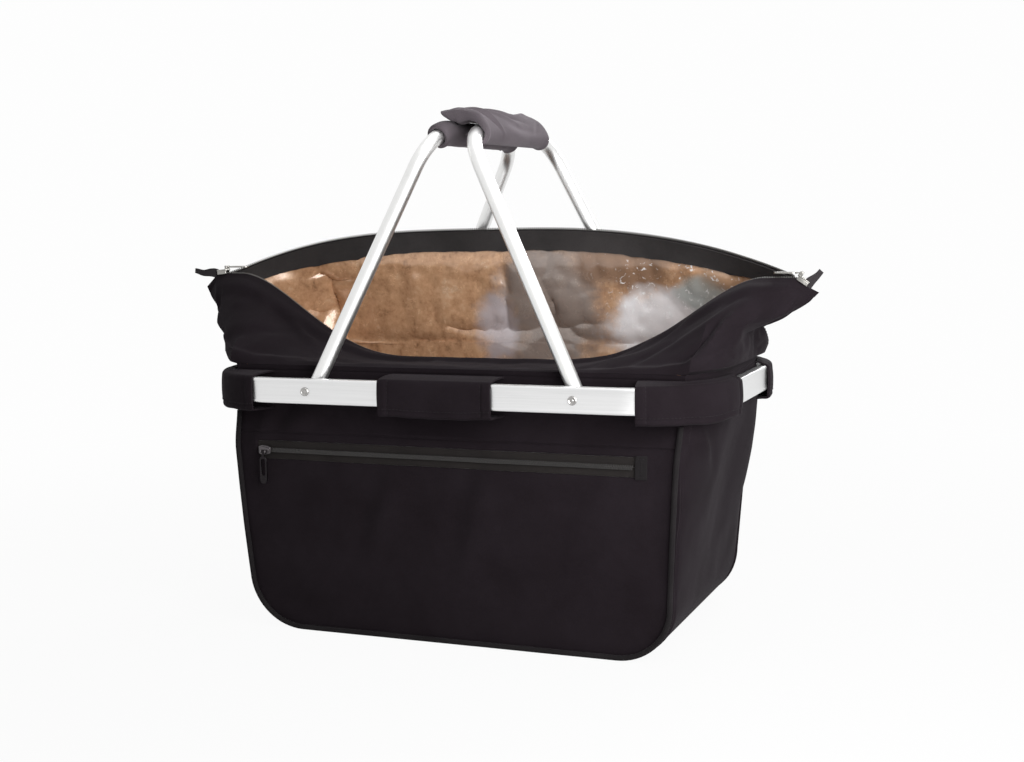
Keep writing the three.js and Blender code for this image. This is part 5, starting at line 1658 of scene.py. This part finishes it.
def racetrack(half_width, low, high, steps=8):
    """A long outline with round ends, from low to high in y."""
    top = arc_points((0, high - half_width), half_width, 0, 180, steps)
    bottom = arc_points((0, low + half_width), half_width, 180, 360, steps)
    return np.concatenate([top, bottom])


PULL_EYE = 1.2
PULL_NECK = 2.6
PULL_WIDTH = 7.0
PULL_THICKNESS = 1.5
RIB_REACH = 2.2
RIB_WIDTH = 0.7
EAR_THICKNESS = 1.3
EAR_ROOT = 0.5
pull_gap = PULL_NECK / 2 + GAP


def pull_solid(length):
    """A zip pull that hangs along -y from its eye: a neck and a flat ring with a ribbed end."""
    half, rib_half = PULL_WIDTH / 2, PULL_THICKNESS / 2 + 0.2
    ring = frame_slab(
        racetrack(half, -length, -4.0), racetrack(half - 1.5, -length + 7.0, -6.4),
        -PULL_THICKNESS / 2, PULL_THICKNESS / 2,
    )
    neck = slab(
        [(-PULL_NECK / 2, 0), (PULL_NECK / 2, 0), (PULL_NECK / 2 * 0.8, -4.8), (-PULL_NECK / 2 * 0.8, -4.8)],
        -0.55, 0.55,
    )
    turn = np.linspace(0, 2 * math.pi, 14, endpoint=False)
    eye = np.array(
        [
            np.column_stack([np.full(14, x), PULL_EYE * np.cos(turn), PULL_EYE * np.sin(turn)])
            for x in (-PULL_NECK / 2, PULL_NECK / 2)
        ]
    )
    ribs = [
        bar(-RIB_REACH, RIB_REACH, y - RIB_WIDTH / 2, y + RIB_WIDTH / 2, -rib_half, rib_half)
        for y in (-length + 3.0, -length + 4.4, -length + 5.8)
    ]
    return joined(ring, neck, tube(eye), *ribs)


def turned(profile, centre, axis_y, sides=24):
    """A round part turned about a line along Y: profile is (radius, y) from the centre."""
    angle = np.linspace(0, 2 * math.pi, sides, endpoint=False)
    ring = points_at(np.cos(angle), 0.0, np.sin(angle))
    profile = np.array(profile, float)
    sections = profile[:, :1, None] * ring[None] + profile[:, 1:, None] * [0, axis_y, 0]
    return tube(sections + np.array(centre))


RIVET_FACE = 0.15
# The dished head from its middle out: radius, height.
RIVET_HEAD = [
    (0.01, 1.2), (0.7, 1.1), (1.2, 0.75), (1.7, 0.5), (2.2, 0.6), (2.7, 1.15), (3.1, 1.4), (3.5, 1.3),
    (3.8, 0.7), (3.9, 0.0),
]
RIVET_SHANK = 2.0
RIVET_FOOT = 1.5


def rivets():
    """Pivot rivets: a dished head on the ring's face, and a small tail behind the tube."""
    for sx, end in ENDS:
        for sy, face in SIDES:
            base = ring_half_depth + RIVET_FACE
            low, high = node_box(f"pivot_rivet_{face}_{end}")
            tail = min(abs(low[1]), abs(high[1]))
            radius = (high[0] - low[0]) / 2
            tail_y, foot_y = tail - base, tail - base + RIVET_FOOT
            shank = [(RIVET_SHANK, 0.0), (RIVET_SHANK, foot_y)]
            foot = [(radius, foot_y), (radius - 0.3, tail_y + 0.3), (0.01, tail_y)]
            solid = turned([*RIVET_HEAD, *shank, *foot], (sx * PIVOT_X, sy * base, ring_centre_z), sy)
            node = f"pivot_rivet_{face}_{end}"
            piece(f"{node}_fine", solid, RIVET_STEEL, node, angle=50)


PIPING_BOTTOM_STEPS = 70


def piping():
    """A covered cord along the edge of each long wall, with its flange sewn into the seam."""
    turn = np.radians(np.linspace(-158, 158, 16))
    section = points_at(PIPING_RADIUS * np.cos(turn), PIPING_RADIUS * np.sin(turn))
    flange = [(-2.4, 0.55), (-4.6, 0.45), (-4.6, -0.45), (-2.4, -0.55)]
    section = np.concatenate([section, flange])
    end = node_box("piping_front")[1][2]
    for side, face in SIDES:
        x, z = profile(PIPING_RADIUS, PIPING_RADIUS, end, 4.0)
        path_x = np.concatenate([-x[::-1], np.linspace(-x[0], x[0], PIPING_BOTTOM_STEPS)[1:-1], x])
        path_z = np.concatenate([z[::-1], np.full(PIPING_BOTTOM_STEPS - 2, z[0]), z])
        y = side * (half_depth(path_z) + PIPING_RADIUS + GAP)
        path = points_at(path_x, y, path_z + 0.1)
        path[:, 1] += side * 0.25 * noise_field(path, 30.0, 2.2, 2)
        along = unit(np.gradient(path, axis=0))
        out = np.tile([0.0, side, 0.0], (len(path), 1))
        out = unit(out - (out * along).sum(1, keepdims=True) * along)
        across = np.cross(along, out)
        sections = (
            path[:, None, :]
            + section[None, :, :1] * out[:, None, :]
            + section[None, :, 1:] * across[:, None, :]
        )
        piece(f"piping_cord_{face}", tube(sections), TRIM, f"piping_{face}", angle=70)


TOOTH_PITCH = 1.45
TOOTH_OFFSET = 0.95
TOOTH_BLOCK = (2.3, 0.95, 1.4, 0.8)
CHAIN_MARGIN = 2.0
POCKET_TAPE = 0.8
PATCH_STANDOFF = 1.15
PATCH_THICKNESS = 0.9
TACK_STANDOFF = 1.3
TACK_STEPS = 12
CAP_STEPS = 4
CAP_REACH = 2.6
zip_middle = (POCKET["bottom"] + POCKET["top"]) / 2


def pocket_zip():
    """Tapes in the slot, two rows of teeth that mesh, and a stitched patch at the end."""
    x = np.linspace(POCKET["left"] + GAP, POCKET["right"] - GAP, 150)
    for name, z0, z1 in (("lower", POCKET["bottom"] + GAP, zip_middle - 0.15),
                         ("upper", zip_middle + 0.15, POCKET["top"] - GAP)):
        z = np.linspace(z0, z1, 7)
        grid_x, grid_z = np.meshgrid(x, z)
        face = long_wall(-1, 1.0, grid_x, grid_z)
        face[..., 1] += 0.15 * noise_field(face, 14.0, 5.5, 2)
        sheet_piece(f"pocket_tape_{name}", face, face + [0, POCKET_TAPE, 0], TAPE, f"pocket_zip_tape_{name}")
    start, stop = POCKET["left"] + CHAIN_MARGIN, POCKET["right"] - CHAIN_MARGIN
    parts = []
    for row, shift in ((-1, 0.0), (1, TOOTH_PITCH / 2)):
        at = np.arange(start + shift, stop, TOOTH_PITCH)
        places = long_wall(-1, 0.2, at[None, :], np.full((1, len(at)), zip_middle))[0]
        places[:, 2] += row * TOOTH_OFFSET
        along = np.tile([0.0, 0, 1.0], (len(at), 1))
        out = np.tile([0.0, -1.0, 0], (len(at), 1))
        parts.append(copies(block(*TOOTH_BLOCK), places, along, out))
    piece("pocket_teeth_chain", joined(*parts), POCKET_TEETH_PLASTIC, "pocket_zip_teeth")
    low, high, grid_x, grid_z = box_grid("pocket_zip_patch", (0, 2), (9, 12))
    face = long_wall(-1, -PATCH_STANDOFF, grid_x, grid_z)
    sheet_piece("pocket_patch", face, face + [0, PATCH_THICKNESS, 0], TRIM, "pocket_zip_patch")
    middle = (low[0] + high[0]) / 2
    tack_z = np.linspace(low[2] + 2.5, high[2] - 2.5, TACK_STEPS)
    tack = long_wall(-1, -TACK_STANDOFF, np.full((1, TACK_STEPS), middle), tack_z[None, :])[0]
    cap_x = np.linspace(middle - CAP_REACH, middle + CAP_REACH, CAP_STEPS)[None, :]
    caps = [
        long_wall(-1, -TACK_STANDOFF, cap_x, np.full((1, CAP_STEPS), z))[0]
        for z in (low[2] + 2.2, high[2] - 2.2)
    ]
    out = np.array([0.0, -1.0, 0.0])
    lines = [(line, np.tile(out, (len(line), 1))) for line in (tack, *caps)]
    stitched("pocket_patch_tack", lines)


POCKET_SLIDER_STANDOFF = 1.7
POCKET_SLIDER_HEIGHT = 2.7
POCKET_SLIDER_STEP = 0.62
# The slider's outline: shares of its half length and half width.
POCKET_SLIDER_SHARES = [(-1, 0.7), (-0.4, 1), (0.5, 0.86), (1, 0.56)]


def pocket_slider():
    """The slider's body is rounded and wider at its front, with a bridge over the pull's eye."""
    low, high = node_box("pocket_slider")
    x = (low[0] + high[0]) / 2
    face = -(half_depth(zip_middle) + POCKET_SLIDER_STANDOFF)
    half_length, half_width = (high[0] - low[0]) / 2, (high[2] - low[2]) / 2
    outline = both_sides(POCKET_SLIDER_SHARES, half_length, half_width)
    body = slab(outline, 0, POCKET_SLIDER_HEIGHT * POCKET_SLIDER_STEP)
    lip_outline = [(a * 0.8, b * 0.7) for a, b in outline]
    lip = slab(lip_outline, POCKET_SLIDER_HEIGHT * POCKET_SLIDER_STEP, POCKET_SLIDER_HEIGHT)
    pivot = joint_pos("pocket_pull_swing")
    root, top = POCKET_SLIDER_HEIGHT - EAR_ROOT, face - pivot[1] + PULL_EYE
    ears = [bar(s * pull_gap, s * (pull_gap + EAR_THICKNESS), -2.3, 0.3, root, top) for s in (-1, 1)]
    solid = placed(joined(body, lip, *ears), (x, face, zip_middle), (1, 0, 0), (0, 0, 1), (0, -1, 0))
    softened(piece("pocket_slider_body", solid, SLIDER_METAL, "pocket_slider", "pocket_slider"), 0.35)
    pull = placed(pull_solid(29.0), pivot, (1, 0, 0), (0, 0, 1), (0, -1, 0))
    softened(piece("pocket_pull_tab", pull, GUNMETAL, "pocket_pull", "pocket_pull"), 0.25)


def joint_pos(joint):
    found = [j for j in frame["joints"] if j["name"] == joint]
    return np.array(found[0]["pos_m"]) / MM


def zip_axes(end):
    """Directions out along the closed stretch, across it and up from it."""
    tilt = math.radians(MOUTH[end]["tilt"])
    out = np.array([end * math.cos(tilt), 0, -math.sin(tilt)])
    up = np.array([end * math.sin(tilt), 0, math.cos(tilt)])
    return out, np.array([0.0, 1.0, 0.0]), up


SLIDER_LENGTH = 12.0
SLIDER_HALF_WIDTH = 4.5
SLIDER_START = 1.0
SLIDER_ROOF = 3.2
SLIDER_TOP = 4.6
SLIDER_SKIRT = -0.2
# The slider's outline: shares of its length and half width.
SLIDER_SHARES = [(0, 0.62), (0.12, 0.92), (0.36, 1), (0.7, 0.84), (1, 0.72)]


def mouth_slider(end, name):
    """Two cheeks and a roof that straddle both rows of teeth, with ears for the pull."""
    out, across, up = zip_axes(end)
    corner = on_closed_zip(end, SLIDER_START, 0)
    length, half = SLIDER_LENGTH, SLIDER_HALF_WIDTH
    outline = both_sides(SLIDER_SHARES, length, half)
    roof = slab(outline, SLIDER_ROOF, SLIDER_TOP)
    cheeks = []
    for s in (-1, 1):
        edge = [
            (length * 0.1, s * half * 0.88), (length * 0.36, s * half),
            (length * 0.7, s * half * 0.84), (length * 0.98, s * half * 0.72),
        ]
        inner = [(a, b - s * 1.0) for a, b in edge[::-1]]
        cheeks.append(slab([*edge, *inner], SLIDER_SKIRT, SLIDER_ROOF + 0.2))
    pivot = joint_pos(f"{name}_zip_pull_swing")
    lift = (pivot - corner) @ up
    root, top = SLIDER_TOP - EAR_ROOT, lift + PULL_EYE
    ears = [bar(0.1, 2.9, s * pull_gap, s * (pull_gap + EAR_THICKNESS), root, top) for s in (-1, 1)]
    solid = placed(joined(roof, *cheeks, *ears), corner, out, across, up)
    solid = solid[0], facing_out(*solid)
    softened(piece(f"mouth_slider_{name}", solid, NICKEL, f"zip_slider_{name}"), 0.4)
    pull = placed(pull_solid(24.0), pivot, (0, 1, 0), (end, 0, 0), (0, 0, 1))
    pull = pull[0], facing_out(*pull)
    node = f"zip_pull_{name}"
    softened(piece(f"mouth_pull_{name}", pull, NICKEL, node, node), 0.25)


TAB = {-1: dict(length=24.0, lift=6.0, drop=3.5), 1: dict(length=17.0, lift=48.0, drop=0.0)}
TAB_START = 17.0
TAB_WIDTH = 8.6
TAB_TIP_WIDTH = 4.6


def end_tab(end, name):
    """The zip's tape, folded back on itself and sewn to the closed stretch."""
    base = on_closed_zip(end, TAB_START, GAP - TAB[end]["drop"])
    lift = math.radians(TAB[end]["lift"])
    out = np.array([end * math.cos(lift), 0, math.sin(lift)])
    up = np.array([-end * math.sin(lift), 0, math.cos(lift)])
    length = TAB[end]["length"] - 1.4
    run = np.linspace(-2.0, length, 20)
    bend = arc_points((length, 0), 0.9, -90, 90, 8)
    path = np.concatenate(
        [np.column_stack([run, np.full(20, -0.9)]), bend, np.column_stack([run[::-1], np.full(20, 0.9)])]
    )
    flare = 0.5 * np.sin(clamp01(path[:, 0] / length) * math.pi)
    path[:, 1] += np.sign(path[:, 1]) * flare * 0.6
    ahead = unit(np.gradient(path, axis=0))
    normal = points_at(ahead[:, 1], -ahead[:, 0])
    share = np.linspace(0, 1, 9)
    grids = []
    for offset in (0.55, -0.5):
        line = path + offset * normal
        reached = smooth(line[:, 0] / length)
        width = lerp(TAB_WIDTH, TAB_TIP_WIDTH, reached)
        shift = 1.6 * reached**2 + 0.5 * np.sin(line[:, 0] / 3.1)
        points = (
            base
            + line[:, None, :1] * out
            + line[:, None, 1:] * [0, 1, 0]
            + (0.6 + share[None, :, None] * width[:, None, None] + shift[:, None, None]) * up
        )
        grids.append(points)
    sheet_piece(f"zip_tab_fold_{name}", *grids, TAB_CLOTH, f"zip_end_tab_{name}", angle=SOFT_ANGLE)


RIM_TOOTH_PITCH = 2.0
RIM_TOOTH_BLOCK = (1.15, 1.3, 2.0, 0.8)
RIM_TAPE_INSET = 0.75
RIM_TAPE_HALF = 0.35
RIM_TAPE_HEIGHTS = (-2.0, -0.5, 1.1)


def mouth_zip(outer, side, face):
    """The tape and the row of teeth that stand on a rim."""
    edge = int(END_COLUMNS * END_TIP_SHARE)
    columns = slice(edge, outer.shape[1] - edge)
    rim = outer[-1, columns]
    up = unit(outer[-1, columns] - outer[-3, columns])
    inward = (-grid_normals(outer) * side)[-1, columns]
    middle = rim + RIM_TAPE_INSET * inward
    rows = [middle + up * lift for lift in RIM_TAPE_HEIGHTS]
    tape_out = np.array([row - RIM_TAPE_HALF * inward for row in rows])
    tape_in = np.array([row + RIM_TAPE_HALF * inward for row in rows])
    places, along, lifted = spaced(middle + 0.7 * up, RIM_TOOTH_PITCH, up)
    teeth = copies(block(*RIM_TOOTH_BLOCK), places, along, lifted)
    sheet_piece(f"rim_tape_{face}", tape_out, tape_in, TAPE)
    piece(f"rim_teeth_{face}", teeth, TEETH, f"zip_teeth_{face}")


def mouth_ends():
    for end, name in ENDS:
        mouth_slider(end, name)
        end_tab(end, name)


def plain_nodes():
    """Rigid pieces whose solids are right as they are get their finish."""
    finishes = {
        "frame_splice": ALUMINIUM, "base_board": BOARD,
        "splice_rivet_left": NICKEL, "splice_rivet_right": NICKEL,
    }
    for sx in ("left", "right"):
        for sy in ("front", "back"):
            finishes[f"pivot_spacer_{sy}_{sx}"] = NYLON
    for node, finish in finishes.items():
        materials = frame["nodes"][node].data.materials
        materials.clear()
        materials.append(finish)


# Stage, lights and camera.


# The camera that was fitted to the photo: focal length for a 36 mm sensor, place in mm, and axes.
LENS = 52.33
CAMERA_PLACE = (519.56, -1266.54, 377.37)
CAMERA_RIGHT = (0.92955, 0.36830, -0.01690)
CAMERA_FORWARD = (-0.36771, 0.92276, -0.11538)


def camera():
    data = bpy.data.cameras.new("camera")
    data.sensor_fit = "HORIZONTAL"
    data.sensor_width = 36.0
    data.lens = LENS
    data.clip_start, data.clip_end = 0.05, 50
    made = bpy.data.objects.new("camera", data)
    bpy.context.scene.collection.objects.link(made)
    right = Vector(CAMERA_RIGHT).normalized()
    forward = Vector(CAMERA_FORWARD)
    forward = (forward - forward.dot(right) * right).normalized()
    up = right.cross(forward)
    turn = Matrix((right, up, -forward)).transposed()
    made.matrix_world = Matrix.Translation(Vector(CAMERA_PLACE) * MM) @ turn.to_4x4()
    bpy.context.scene.camera = made


def lamp(name, place_mm, target_mm, width, height, watts):
    data = bpy.data.lights.new(name, "AREA")
    data.shape = "RECTANGLE"
    data.size, data.size_y = width, height
    data.energy = watts
    made = bpy.data.objects.new(name, data)
    made.location = Vector(place_mm) * MM
    aim = (Vector(target_mm) - Vector(place_mm)).normalized()
    made.rotation_mode = "QUATERNION"
    made.rotation_quaternion = aim.to_track_quat("-Z", "Y")
    bpy.context.scene.collection.objects.link(made)


def seen_directly(tree):
    """1 for camera, glossy and transmission rays."""
    path = add_node(tree, "ShaderNodeLightPath").outputs
    either = maths(tree, "MAXIMUM", path["Is Camera Ray"], path["Is Glossy Ray"])
    return maths(tree, "MAXIMUM", either, path["Is Transmission Ray"])


BACKDROP = 0.985
FLOOR_GLOW = 0.96
GLOW_FROM, GLOW_TO = 0.3, 1.3
WORLD_FILL = 0.22
FLOOR_GREY = 0.6
FLOOR_HALF = 6000.0
WHITE = (1, 1, 1, 1)
# Name, place and target in mm, width and height in m, watts.
LAMPS = [
    ("key", (600, -540, 430), (60, 0, 200), 0.6, 0.6, 9.5),
    ("top", (300, -200, 1900), (0, 0, 250), 1.6, 1.2, 9),
    ("back", (300, 1300, 1100), (0, 110, 200), 0.6, 0.6, 12),
]


def stage():
    world = bpy.data.worlds.new("studio")
    bpy.context.scene.world = world
    world.use_nodes = True
    tree = world.node_tree
    lit = tree.nodes["Background"]
    lit.inputs["Color"].default_value = WHITE
    lit.inputs["Strength"].default_value = WORLD_FILL
    seen = add_node(tree, "ShaderNodeBackground", {"Color": WHITE, "Strength": BACKDROP})
    mixed = add_node(
        tree,
        "ShaderNodeMixShader",
        {0: seen_directly(tree), 1: lit.outputs[0], 2: seen.outputs[0]},
    )
    tree.links.new(mixed.outputs[0], tree.nodes["World Output"].inputs["Surface"])

    points = np.array([[-1, -1, 0], [1, -1, 0], [1, 1, 0], [-1, 1, 0]]) * FLOOR_HALF
    mesh = bpy.data.meshes.new("floor")
    mesh.from_pydata((points * MM).tolist(), [], [(0, 1, 2, 3)])
    floor = bpy.data.objects.new("floor", mesh)
    bpy.context.scene.collection.objects.link(floor)
    material, tree, shader = new_material("floor", Roughness=0.9)
    shader.inputs["Base Color"].default_value = (FLOOR_GREY, FLOOR_GREY, FLOOR_GREY, 1)
    glow = add_node(tree, "ShaderNodeEmission", {"Color": WHITE, "Strength": BACKDROP})
    at = add_node(tree, "ShaderNodeTexCoord").outputs["Object"]
    away = length_of(tree, at)
    paler = eased(tree, away, GLOW_FROM, GLOW_TO, FLOOR_GLOW, 1.0)
    share = times(tree, seen_directly(tree), paler)
    mixed = add_node(tree, "ShaderNodeMixShader", {0: share, 1: shader.outputs[0], 2: glow.outputs[0]})
    tree.links.new(mixed.outputs[0], tree.nodes["Material Output"].inputs["Surface"])
    mesh.materials.append(material)

    for values in LAMPS:
        lamp(*values)
    bpy.context.scene.view_settings.view_transform = "Standard"


camera()
stage()
front_panel()
back_panel()
side_panels()
bottom_panel()
inner_layers()
liner_tub()
upper_walls()
frame_ring()
middle_loops()
corner_loops()
handles()
left_grip()
right_grip()
grip_tape()
rivets()
piping()
pocket_zip()
pocket_slider()
mouth_ends()
plain_nodes()
